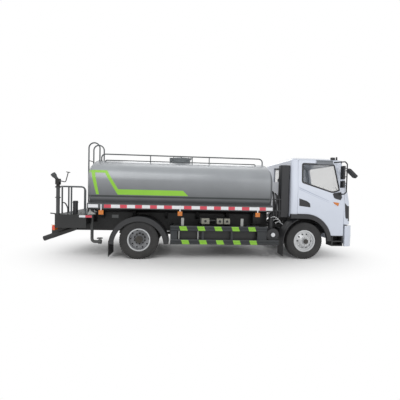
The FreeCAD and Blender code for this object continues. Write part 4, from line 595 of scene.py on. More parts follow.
    def bolt(self, at: Point, way: Point, radius: float, height: float) -> "Forge":
        """Adds a bolt head on its washer.

        Args:
            at: Where it sits.
            way: The direction it stands in.
            radius: The head's radius.
            height: The head's height.

        Returns:
            The piece itself.
        """
        foot, run = Vector(at), Vector(way).normalized()
        self.rod(foot, foot + run * height * WASHER_HEIGHT, radius * WASHER_WIDTH, count=18)
        return self.rod(foot, foot + run * height, radius, radius * HEAD_TAPER, count=6)

    def mirror(self) -> "Forge":
        """Repeats all that is made so far on the other side of the truck.

        Returns:
            The piece itself.
        """
        made = bmesh.ops.duplicate(self.mesh, geom=list(self.mesh.faces))
        for item in made["geom"]:
            if isinstance(item, bmesh.types.BMVert):
                item.co.y = -item.co.y
        faces = [item for item in made["geom"] if isinstance(item, bmesh.types.BMFace)]
        bmesh.ops.reverse_faces(self.mesh, faces=faces)
        return self

    def publish(self, *replaced: str, sharp: float = 32) -> None:
        """Makes the object, shades it and hangs it on its body.

        Args:
            replaced: Nodes of the frame it stands for.
            sharp: The angle in degrees from which an edge stays sharp.
        """
        bmesh.ops.recalc_face_normals(self.mesh, faces=self.mesh.faces)
        limit = math.radians(sharp)
        for face in self.mesh.faces:
            face.smooth = True
        for edge in self.mesh.edges:
            edge.smooth = len(edge.link_faces) == 2 and edge.calc_face_angle(0) < limit
        data = bpy.data.meshes.new(self.name)
        self.mesh.to_mesh(data)
        self.mesh.free()
        thing = bpy.data.objects.new(self.name, data)
        bpy.context.scene.collection.objects.link(thing)
        data.materials.append(self.finish.material())
        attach(thing, self.body)
        if replaced:
            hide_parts(*replaced)
        LOG.info("%s: %d faces", self.name, len(data.polygons))


@dataclass(frozen=True)
class Fitting:
    """A piece made of blocks, each with its lowest and highest corner and its bevel."""

    name: str
    finish: Finish
    blocks: tuple[tuple[Corner, Corner, float], ...]
    mirrored: bool = False

    def build(self) -> None:
        """Makes the piece, on both sides of the truck where it is mirrored."""
        piece = Forge(self.name, self.finish)
        for low, high, bevel in self.blocks:
            piece.block(low, high, bevel)
        if self.mirrored:
            piece.mirror()
        piece.publish()


def bent(points: Sequence[Point], bend: float, steps: int = 8) -> list[Vector]:
    """Rounds the corners of a line.

    Args:
        points: The corners of the line.
        bend: How far before a corner its round starts.
        steps: The points in a round.

    Returns:
        The line with rounded corners.
    """
    line = [Vector(p) for p in points]
    out = [line[0]]
    for before, corner, after in zip(line, line[1:], line[2:]):
        start = corner + (before - corner).normalized() * min(bend, (before - corner).length / 2)
        end = corner + (after - corner).normalized() * min(bend, (after - corner).length / 2)
        for k in range(steps + 1):
            t = k / steps
            out.append(start * (1 - t) ** 2 + corner * 2 * t * (1 - t) + end * t ** 2)
    return out + [line[-1]]


def middle(node: str) -> Vector:
    """The middle of a node's box."""
    low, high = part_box(node)
    return (Vector(low) + Vector(high)) / 2


@dataclass
class Surface:
    """Finds places on the outside of pieces of the frame, looking from outside at a side."""

    names: tuple[str, ...]
    outside: float = 3.0
    usual: float = 1.15
    jump: float = 0.3
    inset: float = 0.002
    tree: BVHTree = field(init=False)

    def __post_init__(self) -> None:
        """Gathers the faces of the named nodes."""
        points: list[Vector] = []
        faces: list[list[int]] = []
        for name in self.names:
            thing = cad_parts[name]
            start = len(points)
            points += [thing.matrix_world @ vert.co for vert in thing.data.vertices]
            faces += [[start + i for i in face.vertices] for face in thing.data.polygons]
        self.tree = BVHTree.FromPolygons(points, faces)

    def side(self, x: float, z: float, side: Side, lift: float) -> Vector:
        """A point just outside the surface, seen from the side.

        Args:
            x: The place along the truck.
            z: The height above the ground.
            side: The side it is seen from.
            lift: How far outside the surface it lies.

        Returns:
            The point, level with its neighbours where nothing is met.
        """
        eye = Vector((x, self.outside * side.value, z))
        found = self.tree.ray_cast(eye, Vector((0, -side.value, 0)))[0]
        near = self.tree.find_nearest(Vector((x, self.usual * side.value, z)))[0]
        met = found if found is not None and abs(found.y - near.y) < self.jump else near
        return Vector((x, met.y + side.value * lift, z))

    def patch(self, outline: Outline, side: Side, lift: float, count: int = 8
              ) -> list[list[Vector]]:
        """Rows of points over an outline, laid on the surface.

        Args:
            outline: Pairs of place along the truck and height, going round a convex shape.
            side: The side it is seen from.
            lift: How far outside the surface it lies.
            count: How many rows there are, and points in a row.

        Returns:
            The rows from the lowest to the highest.
        """
        low = min(z for _, z in outline)
        high = max(z for _, z in outline)
        out = []
        for j in range(count):
            z = low + (high - low) * (self.inset + (1 - 2 * self.inset) * j / (count - 1))
            cuts = []
            for (x0, z0), (x1, z1) in zip(outline, (*outline[1:], outline[0])):
                if min(z0, z1) <= z <= max(z0, z1) and z0 != z1:
                    cuts.append(x0 + (x1 - x0) * (z - z0) / (z1 - z0))
            rear, front = min(cuts), max(cuts)
            out.append([self.side(rear + (front - rear) * k / (count - 1), z, side, lift)
                        for k in range(count)])
        return out


@dataclass
class NodeFinishes:
    """Gives each piece of the frame that stays in view its finish."""

    usual: Finish = PLASTIC
    groups: tuple[tuple[Finish, tuple[str, ...]], ...] = (
        (CAB_WHITE, ("cab_shell", "door_left", "door_right", "front_bumper")),
        (GLASS, ("cab_glass", "door_glass_left", "door_glass_right")),
        (CLOTH, ("cab_interior",)),
        (PLASTIC, ("air_intake", "cab_trims", "cab_steps", "mirror_left", "mirror_right",
                   "mudguards")),
        (BLACK_PAINT, ("chassis_frame", "tank_cradle", "rear_platform", "rear_sprinkler",
                       "side_boxes")),
        (CAST, ("cannon_swivel", "engine_block", "front_axle", "rear_axle",
                "propeller_shaft", "knuckle_left", "knuckle_right")),
        (PIPE_GREY, ("cannon_barrel", "water_pipes")),
        (RAIL, ("platform_railing", "rear_ladder", "tank_top_rails")),
        (GUARD, ("side_guards",)),
        (TANK, ("tank_shell",)),
        (LID, ("manhole_lid", "manhole_neck")),
        (RIM, ("rim_front_left", "rim_front_right")),
        (RIM_DULL, ("rim_rear_left", "rim_rear_right")),
        (LENS, ("headlamps",)),
        (AMBER, ("marker_lamps",)))

    def build(self) -> None:
        """Assigns the finishes to the slots of the nodes."""
        finishes = {name: finish for finish, names in self.groups for name in names}
        for name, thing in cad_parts.items():
            material = finishes.get(name, self.usual).material()
            if not thing.material_slots:
                thing.data.materials.append(material)
            for place in thing.material_slots:
                place.material = material
        LOG.info("finishes on %d nodes", len(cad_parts))


@dataclass
class Tyres:
    """Six tyres with ribs, shoulder blocks and raised rings on their walls."""

    width: float = 0.275
    steps: int = 200
    pitch: int = 4
    tread: float = 0.506
    groove: float = 0.011
    grooves: tuple[float, ...] = (0.071, 0.026)
    mouth: float = 0.0055
    floor: float = 0.004
    shoulder_depth: float = 0.9
    block_depth: float = 0.5
    wall: Outline = (
        (0.106, 0.286), (0.113, 0.300), (0.122, 0.306), (0.1275, 0.330), (0.1285, 0.333),
        (0.1285, 0.339), (0.1285, 0.342), (0.133, 0.372), (0.136, 0.400), (0.1375, 0.425),
        (0.1365, 0.428), (0.1345, 0.436), (0.130, 0.450), (0.1225, 0.472), (0.1160, 0.490),
        (0.1100, 0.502), (0.1040, 0.506))

    def build(self) -> None:
        """Makes the tyres on their four wheels."""
        for axle in ("front", "rear"):
            for side in Side:
                self.tyre(f"{axle}_{side.word}")

    def profile(self) -> list[Span]:
        """The section from bead to bead, with the ribs and the rings.

        Returns:
            Pairs of distance from the tyre's middle and radius.
        """
        half = list(self.wall)
        for y in self.grooves:
            half += [(y + self.mouth, self.tread), (y + self.floor, self.tread - self.groove),
                     (y - self.floor, self.tread - self.groove), (y - self.mouth, self.tread)]
        return half + [(-y, radius) for y, radius in reversed(half)]

    def slotted(self, step: int, place: int, last: int, radius: float) -> float:
        """Sinks the slots between the blocks of the tread.

        Args:
            step: The step round the tyre.
            place: The point of the section.
            last: The last point of the section.
            radius: The radius without slots.

        Returns:
            The radius with slots.
        """
        mirrored = min(place, last - place)
        beyond = mirrored - len(self.wall)
        if -3 <= beyond <= 0 and step % self.pitch == (0 if place == mirrored else self.pitch // 2):
            return radius - self.groove * self.shoulder_depth
        if 3 <= beyond <= 4 and step % self.pitch == 1:
            return radius - self.groove * self.block_depth
        return radius

    def tyre(self, place: str) -> None:
        """Makes the tyres of one wheel, one or two side by side.

        Args:
            place: The wheel's end and side.
        """
        node = f"tyre_{place}"
        outline = self.profile()
        last = len(outline) - 1
        low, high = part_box(node)
        centre = middle(node)
        spare = (high[1] - low[1] - self.width) / 2
        piece = Forge(f"ribbed_{node}", RUBBER, f"wheel_{place}")
        for shift in ((0.0,) if spare < self.width / 2 else (-spare, spare)):
            piece.lathe(outline, (centre.x, centre.y + shift, centre.z), self.steps,
                        lambda step, point, radius: self.slotted(step, point, last, radius))
        piece.publish(node, sharp=28)


@dataclass
class WheelTrim:
    """Nuts, hub caps and flanges on the rims, with profiles that run outwards from a face."""

    nuts: int = 10
    front_face: float = 1.154
    front_circle: float = 0.1125
    front_nut: Span = (0.0135, 0.022)
    cap_foot: float = 0.047
    cap: Outline = ((0.0, 0.002), (0.0, 0.068), (0.010, 0.066), (0.0125, 0.058),
                    (0.0125, 0.002))
    rear_face: float = 0.990
    rear_circle: float = 0.140
    rear_nut: Span = (0.0145, 0.034)
    hub_nuts: int = 8
    hub_face: float = 1.135
    hub_circle: float = 0.066
    hub_nut: Span = (0.009, 0.012)
    flange: Outline = ((-0.004, 0.002), (-0.004, 0.098), (0.004, 0.094), (0.006, 0.036),
                       (0.020, 0.032), (0.020, 0.002))
    ring: Outline = ((-0.014, 0.262), (0.0, 0.268), (0.0, 0.290), (-0.006, 0.292))
    ring_lift: float = 0.0006
    hub_steps: int = 40
    ring_steps: int = 72

    def build(self) -> None:
        """Dresses the four wheels."""
        for side in Side:
            self.front(side)
        for side in Side:
            self.rear(side)

    def axle(self, end: str) -> Vector:
        """The middle of the front or rear axle, all at one height."""
        return Vector((middle(f"tyre_{end}_right").x, 0, middle("tyre_front_right").z))

    def ring_of(self, piece: Forge, axle: Vector, face: float, circle: float, count: int,
                nut: Span) -> None:
        """Sets nuts in a ring.

        Args:
            piece: The piece they join.
            axle: The middle of the axle.
            face: The face they stand on, across the truck.
            circle: The radius of the ring.
            count: How many there are.
            nut: The radius and the height of a nut.
        """
        for k in range(count):
            angle = 2 * math.pi * (k + 0.5) / count
            at = axle + Vector((circle * math.cos(angle), face, circle * math.sin(angle)))
            piece.bolt(at, (0, math.copysign(1, face), 0), *nut)

    def turned(self, piece: Forge, axle: Vector, face: float, profile: Outline,
               count: int) -> None:
        """Turns a profile that stands on a face.

        Args:
            piece: The piece it joins.
            axle: The middle of the axle.
            face: The face, across the truck.
            profile: Pairs of distance outside the face and radius.
            count: The steps round the axle.
        """
        out = math.copysign(1, face)
        piece.lathe([(face + out * along, radius) for along, radius in profile], axle, count)

    def front(self, side: Side) -> None:
        """Makes the nuts and the dark hub cap of a front wheel.

        Args:
            side: The side the wheel is on.
        """
        name, axle = f"front_{side.word}", self.axle("front")
        nuts = Forge(f"wheel_nuts_{name}", STEEL, f"wheel_{name}")
        self.ring_of(nuts, axle, side.value * self.front_face, self.front_circle, self.nuts,
                     self.front_nut)
        nuts.publish()
        cap = Forge(f"hub_cap_{name}", CAST, f"wheel_{name}")
        self.turned(cap, axle, side.value * (self.front_face + self.cap_foot), self.cap,
                    self.hub_steps)
        cap.publish()

    def rear(self, side: Side) -> None:
        """Makes the bright ring, the nuts and the hub flange of a rear wheel.

        Args:
            side: The side the wheel is on.
        """
        name, axle = f"rear_{side.word}", self.axle("rear")
        low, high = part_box(f"rim_{name}")
        edge = max(abs(low[1]), abs(high[1])) + self.ring_lift
        ring = Forge(f"rim_ring_{name}", RIM, f"wheel_{name}")
        self.turned(ring, axle, side.value * edge, self.ring, self.ring_steps)
        ring.publish()
        nuts = Forge(f"wheel_nuts_{name}", CAST, f"wheel_{name}")
        self.ring_of(nuts, axle, side.value * self.rear_face, self.rear_circle, self.nuts,
                     self.rear_nut)
        self.ring_of(nuts, axle, side.value * self.hub_face, self.hub_circle, self.hub_nuts,
                     self.hub_nut)
        self.turned(nuts, axle, side.value * self.hub_face, self.flange, self.hub_steps)
        nuts.publish()


@dataclass
class TankGraphics:
    """Stripes, the painted shade of the waist crease, seams and edge tape of the tank.

    A film is its upper and its lower edge, each a height with a rear and a front end.
    """

    half_width: float = 1.185
    half_height: float = 0.765
    side_radius: float = 2.6
    top_radius: float = 2.3
    corner_radius: float = 0.48
    arc_points: tuple[int, int, int] = (14, 14, 10)
    chamfer: float = 0.07
    bead: float = 0.006
    bead_sides: int = 6
    bead_lift: float = 0.001
    lift: float = 0.0016
    row_step: float = 0.03
    column_step: float = 0.025
    least_columns: int = 7
    green_films: tuple[tuple[Corner, Corner], ...] = (
        ((2.300, -3.060, -2.594), (2.234, -3.060, -2.553)),
        ((2.234, -2.980, -2.890), (1.675, -2.848, -2.776)),
        ((2.234, -2.642, -2.553), (1.813, -2.389, -2.291)),
        ((1.813, -2.389, -0.620), (1.675, -2.306, -0.480)))
    # Painted shade of the waist crease, as its upper and its lower edge.
    waist_crease_shade_film: tuple[Corner, Corner] = ((1.655, -3.060, 1.790), (1.610, -3.060, 1.790))
    tape_z: Span = (1.335, 1.418)
    tape_front: float = 1.785
    tail_tape: Span = (-3.025, -2.777)
    red_blocks: Outline = (
        (-2.628, -2.453), (-2.227, -2.050), (-1.847, -1.669), (-1.465, -1.286),
        (-1.106, -0.899), (-0.587, -0.388), (-0.168, 0.016), (0.202, 0.388),
        (0.588, 0.762), (0.950, 1.152), (1.426, 1.600))
    shell: Surface = field(default_factory=lambda: Surface(("tank_shell",)))

    def build(self) -> None:
        """Makes every marking of the tank, and the painted shade of its waist crease."""
        self.films("green_stripe", GREEN, self.green_films)
        # Lays the painted shade of the waist crease.
        self.films("waist_crease_painted_shade", TANK_CREASE_SHADE, (self.waist_crease_shade_film,))
        self.tape()
        self.seams()

    def films(self, name: str, finish: Finish, edges: Sequence[tuple[Corner, Corner]]) -> None:
        """Lays a piece of several films on both sides of the tank.

        Args:
            name: The piece's name.
            finish: The film's finish.
            edges: The upper and the lower edge of each film.
        """
        piece = Forge(name, finish)
        for upper, lower in edges:
            count = max(2, int(abs(lower[0] - upper[0]) / self.row_step) + 1)
            rows = [[a + (b - a) * (k / count) for a, b in zip(upper, lower)]
                    for k in range(count + 1)]
            longest = max(front - rear for _, rear, front in rows)
            steps = self.least_columns + int(longest / self.column_step)
            for side in Side:
                piece.skin([
                    [self.shell.side(rear + (front - rear) * k / steps, z, side, self.lift)
                     for k in range(steps + 1)] for z, rear, front in rows])
        piece.publish()

    def tape(self) -> None:
        """Makes the red and white blocks along the ledges, and the tape at their tails."""
        ledge_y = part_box("tank_shell")[1][1] + self.lift
        starts = [front for _, front in self.red_blocks]
        stops = [rear for rear, _ in self.red_blocks[1:]] + [self.tape_front]
        for name, finish, blocks in (
            ("edge_tape_red", TAPE_RED, self.red_blocks),
            ("edge_tape_white", TAPE_WHITE, [*zip(starts, stops), self.tail_tape]),
        ):
            piece = Forge(name, finish)
            for ends in blocks:
                for side in Side:
                    piece.strip(ends, side.value * ledge_y, self.tape_z)
            piece.publish()

    def section(self) -> list[Span]:
        """The upper quarter of the tank's section, from its side to its top.

        Returns:
            Points across and above the middle, on three tangent arcs.
        """
        side_y = self.half_width - self.side_radius
        top_z = self.half_height - self.top_radius
        reach_side = self.side_radius - self.corner_radius
        reach_top = self.top_radius - self.corner_radius
        span = math.hypot(side_y, top_z)
        along = (reach_side ** 2 - reach_top ** 2 + span ** 2) / (2 * span)
        off = math.sqrt(reach_side ** 2 - along ** 2)
        ux, uz = -side_y / span, top_z / span
        corner_y = side_y + along * ux - off * uz
        corner_z = along * uz + off * ux
        first = math.atan2(corner_z, corner_y - side_y)
        second = math.atan2(corner_z - top_z, corner_y)
        arcs = ((side_y, 0.0, self.side_radius, 0.0, first),
                (corner_y, corner_z, self.corner_radius, first, second),
                (0.0, top_z, self.top_radius, second, math.pi / 2))
        points = []
        for (cy, cz, radius, start, end), count in zip(arcs, self.arc_points):
            for k in range(count):
                a = start + (end - start) * k / (count - 1)
                points.append((cy + radius * math.cos(a), cz + radius * math.sin(a)))
        return points

    def ring(self, x: float, centre_z: float) -> list[Vector]:
        """Points round the whole tank at one place along it.

        Args:
            x: The place along the truck.
            centre_z: The height of the tank's middle.

        Returns:
            The closed line, just outside the tank.
        """
        quarter = self.section()
        half = quarter + [(-y, z) for y, z in reversed(quarter[:-1])]
        whole = half + [(y, -z) for y, z in reversed(half[1:-1])]
        return [Vector((x, y, centre_z + z)) + Vector((0, y, z)).normalized() * self.bead_lift
                for y, z in whole]

    def seams(self) -> None:
        """Lays weld beads round the tank along the rims of its heads."""
        low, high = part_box("tank_shell")
        seam = Forge("weld_seams", TANK)
        for x in (low[0] + self.chamfer, high[0] - self.chamfer):
            seam.tube(self.ring(x, high[2] - self.half_height), self.bead, self.bead_sides,
                      closed=True)
        seam.publish()


@dataclass
class ManholeTrim:
    """Strap bolts of the manhole's lid, and the flange under it."""

    seat: float = 2.7603
    bolts: int = 6
    bolt_circle: float = 0.262
    bolt_rise: float = 0.026
    bolt: Span = (0.013, 0.024)
    flange_circle: float = 0.284
    flange_drop: float = 0.0126
    flange_radius: float = 0.009
    flange_steps: int = 64
    flange_sides: int = 8

    def circle(self, radius: float, count: int, z: float, start: float = 0.0) -> list[Vector]:
        """Points on a level circle about the manhole.

        Args:
            radius: The circle's radius.
            count: How many points there are.
            z: The circle's height.
            start: The first point's place, as a share of a step.

        Returns:
            The points, going round.
        """
        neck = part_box("manhole_neck")[1]
        angles = [2 * math.pi * (k + start) / count for k in range(count)]
        return [Vector((neck[0] - neck[1] + radius * math.cos(a), radius * math.sin(a), z))
                for a in angles]

    def build(self) -> None:
        """Makes the bolts on the lid and the flange under it."""
        clamps = Forge("lid_clamps", CAST, "lid")
        for at in self.circle(self.bolt_circle, self.bolts, self.seat + self.bolt_rise, 0.5):
            clamps.bolt(at, (0, 0, 1), *self.bolt)
        clamps.publish()
        flange = Forge("neck_flange", TANK)
        line = self.circle(self.flange_circle, self.flange_steps, self.seat - self.flange_drop)
        flange.tube(line, self.flange_radius, self.flange_sides, closed=True)
        flange.publish()


@dataclass
class GuardTrim:
    """Green blocks, end board, posts and valve housings at the side guards.

    The rail's shape is pairs of height and depth, as shares of its height.
    """

    height: float = 0.13
    upper_starts: tuple[float, ...] = (-0.709, -0.237, 0.216, 0.680, 1.125)
    lower_starts: tuple[float, ...] = (-0.651, -0.182, 0.269, 0.724, 1.170)
    length: float = 0.190
    slant: float = 0.045
    lift: float = 0.0016
    rail: Outline = ((0.985, 0.1077), (0.892, 0.0), (0.62, 0.0), (0.56, 0.077),
                     (0.44, 0.077), (0.38, 0.0), (0.108, 0.0), (0.02, 0.0615))
    end_board: Fitting = Fitting("guard_end_board", BLACK_PAINT, (
        ((1.130, -1.090, 0.480), (1.470, -1.070, 0.900), 0.004),))
    valve_ends: Outline = ((-0.100, 0.121), (0.321, 0.491), (0.522, 0.686))
    valve_y: Span = (-1.010, -0.955)
    valve_z: Span = (0.925, 1.080)
    valve_bevel: float = 0.012
    knob_z: float = 1.0
    knob_y: Span = (-1.008, -1.028)
    knob_radii: Span = (0.034, 0.030)
    posts: Fitting = Fitting("guard_pale_posts", PALE_GREY, (
        ((-0.715, -1.204, 0.537), (-0.689, -1.176, 0.762), 0.003),
        ((-0.213, -1.204, 0.537), (-0.187, -1.176, 0.762), 0.003),
        ((-0.652, -1.190, 0.893), (-0.577, -1.165, 1.100), 0.006),
        ((0.940, -1.190, 0.893), (1.015, -1.165, 1.100), 0.006)), mirrored=True)

    def build(self) -> None:
        """Makes the marking blocks, the board, the valves and the posts."""
        low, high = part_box("side_guards")
        marks = Forge("guard_green_blocks", GREEN)
        for under, starts in ((high[2] - self.height, self.upper_starts),
                              (low[2], self.lower_starts)):
            for start in starts:
                self.mark(marks, start, under, low[1] - self.lift)
        marks.mirror().publish()
        self.end_board.build()
        self.valves()
        self.posts.build()

    def mark(self, piece: Forge, start: float, under: float, face: float) -> None:
        """Lays one slanted block over the ribs of a guard rail.

        Args:
            piece: The piece it joins.
            start: Its rear end at the top.
            under: The underside of the rail.
            face: The outside of the rail, across the truck.
        """
        rows = []
        for share, sink in self.rail:
            rear = start + self.slant * (1 - share)
            y, z = face + sink * self.height, under + self.height * share
            rows.append([(rear, y, z), (rear + self.length, y, z)])
        piece.skin(rows)

    def valves(self) -> None:
        """Makes the three valve housings and their round knobs."""
        housings = Forge("valve_housings", BEIGE)
        knobs = Forge("valve_knobs", PLASTIC)
        for rear, front in self.valve_ends:
            housings.block((rear, self.valve_y[0], self.valve_z[0]),
                           (front, self.valve_y[1], self.valve_z[1]), self.valve_bevel)
            inner, outer = [((rear + front) / 2, y, self.knob_z) for y in self.knob_y]
            knobs.rod(inner, outer, *self.knob_radii)
        housings.publish()
        knobs.publish()


@dataclass
class HoseTrim:
    """Hoses, lines, boards and the filter's cap between the tank and the cab."""

    hoses: int = 6
    hose_start: float = 1.885
    hose_step: float = 0.040
    hose_y: float = -1.02
    stagger: float = 0.045
    heights: tuple[float, ...] = (1.12, 1.45, 1.70, 1.86)
    bow: float = 0.02
    bow_turn: float = 1.7
    end_drop: float = 0.03
    end_reach: float = 0.12
    hose_radius: float = 0.021
    clamps: tuple[tuple[Corner, Corner], ...] = (
        ((1.865, -1.045, 1.300), (2.120, -0.945, 1.330)),
        ((1.865, -1.045, 1.620), (2.120, -0.945, 1.650)))
    clamp_bevel: float = 0.01
    line_tops: Outline = ((1.90, 1.13), (1.97, 1.06), (2.03, 0.98))
    line_steps: tuple[Corner, ...] = ((-0.10, -1.06, 0.0), (0.0, -1.07, 0.04),
                                      (0.12, -1.06, -0.03))
    line_spread: float = 0.01
    line_bend: float = 0.06
    line_radius: float = 0.008
    line_sides: int = 10
    boards: Fitting = Fitting("frame_side_boards", BLACK_PAINT, (
        ((1.420, -0.630, 0.900), (1.830, -0.612, 1.290), 0.004),
        ((2.200, -0.460, 1.005), (2.520, -0.448, 1.150), 0.004)))
    cap_at: Span = (1.852, 0.670)
    cap_steps: tuple[tuple[Span, Span, int], ...] = (
        ((0.0, 0.016), (0.058, 0.052), 40), ((0.016, 0.022), (0.024, 0.020), 32))

    def build(self) -> None:
        """Makes all that stands between the tank and the cab."""
        self.bundle()
        self.lines()
        self.boards.build()
        self.filter_cap()

    def bundle(self) -> None:
        """Makes the upright hoses and the two clamps round them."""
        piece = Forge("hose_bundle", PLASTIC)
        foot, low, high, top = self.heights
        for k in range(self.hoses):
            x = self.hose_start + self.hose_step * k
            y = self.hose_y + self.stagger * (k % 2)
            bow = self.bow * math.sin(k * self.bow_turn)
            route = [(x, y, foot), (x + bow, y, low), (x - bow, y, high),
                     (x, y + self.end_reach, top - self.end_drop * k)]
            piece.tube(bent(route, self.end_reach), self.hose_radius)
        for corners in self.clamps:
            piece.block(*corners, self.clamp_bevel)
        piece.publish()

    def lines(self) -> None:
        """Makes the thin bright lines below the hoses."""
        piece = Forge("silver_lines", STEEL)
        for k, (x, z) in enumerate(self.line_tops):
            first, top, last = [Vector((x + dx, y, z + dz)) for dx, y, dz in self.line_steps]
            top.z += self.line_spread * k
            piece.tube(bent([first, top, last], self.line_bend), self.line_radius,
                       self.line_sides)
        piece.publish()

    def filter_cap(self) -> None:
        """Makes the pale cap on the outer face of the filter."""
        x, z = self.cap_at
        nodes = ("air_intake", "water_pipes", "side_boxes", "chassis_frame")
        face = Surface(nodes).side(x, z, Side.RIGHT, 0.0)
        piece = Forge("filter_cap", TAPE_WHITE)
        for depths, radii, count in self.cap_steps:
            start, end = [(x, face.y - depth, z) for depth in depths]
            piece.rod(start, end, *radii, count)
        piece.publish()


@dataclass
class CabTrim:
    """Handles, lamps, visors, wipers, seals and panels of the cab, and painted shade along the door
    creases.

    Outlines are pairs of place along the truck and height, and a patch has its lift too.
    """

    window: Outline = ((2.621, 2.655), (2.615, 2.110), (3.490, 1.840), (3.709, 1.910),
                       (3.550, 2.647))
    window_bend: float = 0.075
    seal_width: float = 0.042
    seal_overlap: float = 0.002
    seal_lifts: Span = (0.003, 0.006)
    seal_depth: float = 0.035
    patches: tuple[tuple[str, Finish, Outline, float], ...] = (
        ("handle_recess", PLASTIC, ((2.556, 1.681), (2.789, 1.606), (2.867, 1.539),
                                    (2.878, 1.441), (2.563, 1.476)), 0.003),
        ("mirror_foot", PLASTIC, ((3.500, 1.842), (3.735, 1.880), (3.768, 1.730),
                                  (3.729, 1.655), (3.547, 1.702)), 0.012),
        ("side_indicator", AMBER, ((3.527, 1.598), (3.701, 1.579), (3.663, 1.486),
                                   (3.553, 1.553)), 0.010))
    corner: Outline = ((3.862, 1.575), (4.040, 1.499), (4.048, 1.006), (3.888, 1.175))
    corner_lift: float = 0.002
    patch_overlap: float = 0.002
    # Painted shade of the door creases: where it starts, how it steps, falls and narrows, its lift
    # and its bands.
    crease_shade_start: Span = (2.545, 1.975)
    crease_shade_step: float = 0.072
    crease_shade_steps: int = 12
    crease_shade_fall: float = 0.355
    crease_shade_taper: float = 0.6
    crease_shade_lift: float = 0.0015
    crease_shade_bands: Outline = ((0.0, 0.030), (-0.042, 0.012))
    visor_start: float = 3.03
    visor_step: float = 0.066
    visor_columns: int = 8
    visor_rows: Outline = ((2.745, 0.004), (2.722, 0.020), (2.690, 0.032), (2.690, 0.034))
    visor_drop: float = 0.066
    wiper_starts: tuple[float, ...] = (-0.75, -0.05, 0.62)
    wiper_arm: tuple[Corner, ...] = ((4.085, 0.0, 1.625), (4.085, 0.22, 1.78),
                                     (4.045, 0.34, 1.92))
    wiper_blade: tuple[Corner, ...] = ((4.078, 0.05, 1.70), (4.030, 0.40, 2.02))
    wiper_radii: Span = (0.008, 0.006)
    wiper_sides: int = 8
    roof_blocks: tuple[tuple[Corner, Corner, float], ...] = (
        ((3.470, -1.07, 2.745), (3.580, -1.00, 2.835), 0.015),
        ((3.600, -1.08, 2.625), (3.780, -0.99, 2.745), 0.02))
    roof_lamp: tuple[Corner, Corner] = ((3.640, -1.03, 2.72), (3.640, -1.03, 2.85))
    roof_lamp_radii: Span = (0.028, 0.020)
    skins: dict[Side, Surface] = field(default_factory=lambda: {
        side: Surface(("cab_shell", f"door_{side.word}")) for side in Side})

    def build(self) -> None:
        """Makes all that is fitted to the cab."""
        for side in Side:
            body = f"door_{side.word}_body"
            for name, finish, outline, lift in self.patches:
                self.laid(Forge(f"{name}_{side.word}", finish, body), side, outline, lift)
            self.stripe(side, body)
            self.visor(side, body)
            self.seal(side, body)
            panel = Forge(f"corner_panel_{side.word}", PLASTIC, "cab")
            self.laid(panel, side, self.corner, self.corner_lift)
        self.wipers()
        self.roof()

    def laid(self, piece: Forge, side: Side, outline: Outline, lift: float) -> None:
        """Lays a raised patch on the cab's side, with its edge turned in.

        Args:
            piece: The piece it makes.
            side: Which side of the cab.
            outline: Its outline.
            lift: How far outside the skin.
        """
        rows = self.skins[side].patch(outline, side, lift)
        inward = Vector((0, -side.value * (lift + self.patch_overlap), 0))
        rim = ([row[0] for row in rows] + rows[-1][1:] + [row[-1] for row in rows[-2::-1]]
               + rows[0][-2::-1])
        piece.skin(rows).skin([rim, [point + inward for point in rim]]).publish()

    def stripe(self, side: Side, body: str) -> None:
        """Lays the painted shade of the door's crease lines, as two pale bands that fall and narrow
        along a door.

        Args:
            side: Which side of the cab.
            body: The door's body.
        """
        piece = Forge(f"side_stripe_{side.word}", DOOR_CREASE_SHADE, body)
        skin = self.skins[side]
        start_x, start_z = self.crease_shade_start
        for offset, depth in self.crease_shade_bands:
            rows = []
            for k in range(self.crease_shade_steps + 1):
                share = k / self.crease_shade_steps
                x = start_x + self.crease_shade_step * k
                z = start_z + offset - self.crease_shade_fall * share
                half = depth * (1 - self.crease_shade_taper * share) / 2
                rows.append([skin.side(x, z + half, side, self.crease_shade_lift),
                             skin.side(x, z - half, side, self.crease_shade_lift)])
            piece.skin(rows)
        piece.publish()

    def visor(self, side: Side, body: str) -> None:
        """Makes the rain visor over a door's window, with its edge hanging down.

        Args:
            side: Which side of the cab.
            body: The door's body.
        """
        columns = [self.visor_start + self.visor_step * k for k in range(self.visor_columns)]
        rows = [[self.skins[side].side(x, z, side, lift) for x in columns]
                for z, lift in self.visor_rows]
        drop = Vector((0, 0, self.visor_drop))
        rows[-1] = [point - drop for point in rows[-1]]
        Forge(f"rain_visor_{side.word}", VISOR, body).skin(rows).publish()

    def seal(self, side: Side, body: str) -> None:
        """Makes the black seal round the window of one door.

        Args:
            side: Which side of the cab.
            body: The door's body.
        """
        corners = [Vector((x, 0, z)) for x, z in self.window]
        start = (corners[-1] + corners[0]) / 2
        line = bent([start, *corners, start], self.window_bend)
        skin = self.skins[side]
        outer, edge = [], []
        for i, point in enumerate(line):
            way = (line[(i + 1) % len(line)] - line[i - 1]).normalized()
            away = Vector((-way.z, 0, way.x))
            wide, near = point + away * self.seal_width, point + away * self.seal_overlap
            outer.append(skin.side(wide.x, wide.z, side, self.seal_lifts[0]))
            edge.append(skin.side(near.x, near.z, side, self.seal_lifts[1]))
        inward = Vector((0, -side.value * self.seal_depth, 0))
        piece = Forge(f"window_seal_{side.word}", PLASTIC, body)
        piece.skin([outer, edge, [point + inward for point in edge]]).publish()

    def wipers(self) -> None:
        """Makes the three wipers before the windscreen."""
        piece = Forge("wipers", PLASTIC, "cab")
        for start in self.wiper_starts:
            for line, radius in zip((self.wiper_arm, self.wiper_blade), self.wiper_radii):
                piece.tube([(x, start + y, z) for x, y, z in line], radius, self.wiper_sides)
        piece.publish()

    def roof(self) -> None:
        """Makes the clamps and the lamp on the front corner of the roof."""
        piece = Forge("roof_corner_fittings", PLASTIC, "cab")
        for low, high, bevel in self.roof_blocks:
            piece.block(low, high, bevel)
        piece.rod(*self.roof_lamp, *self.roof_lamp_radii).publish()


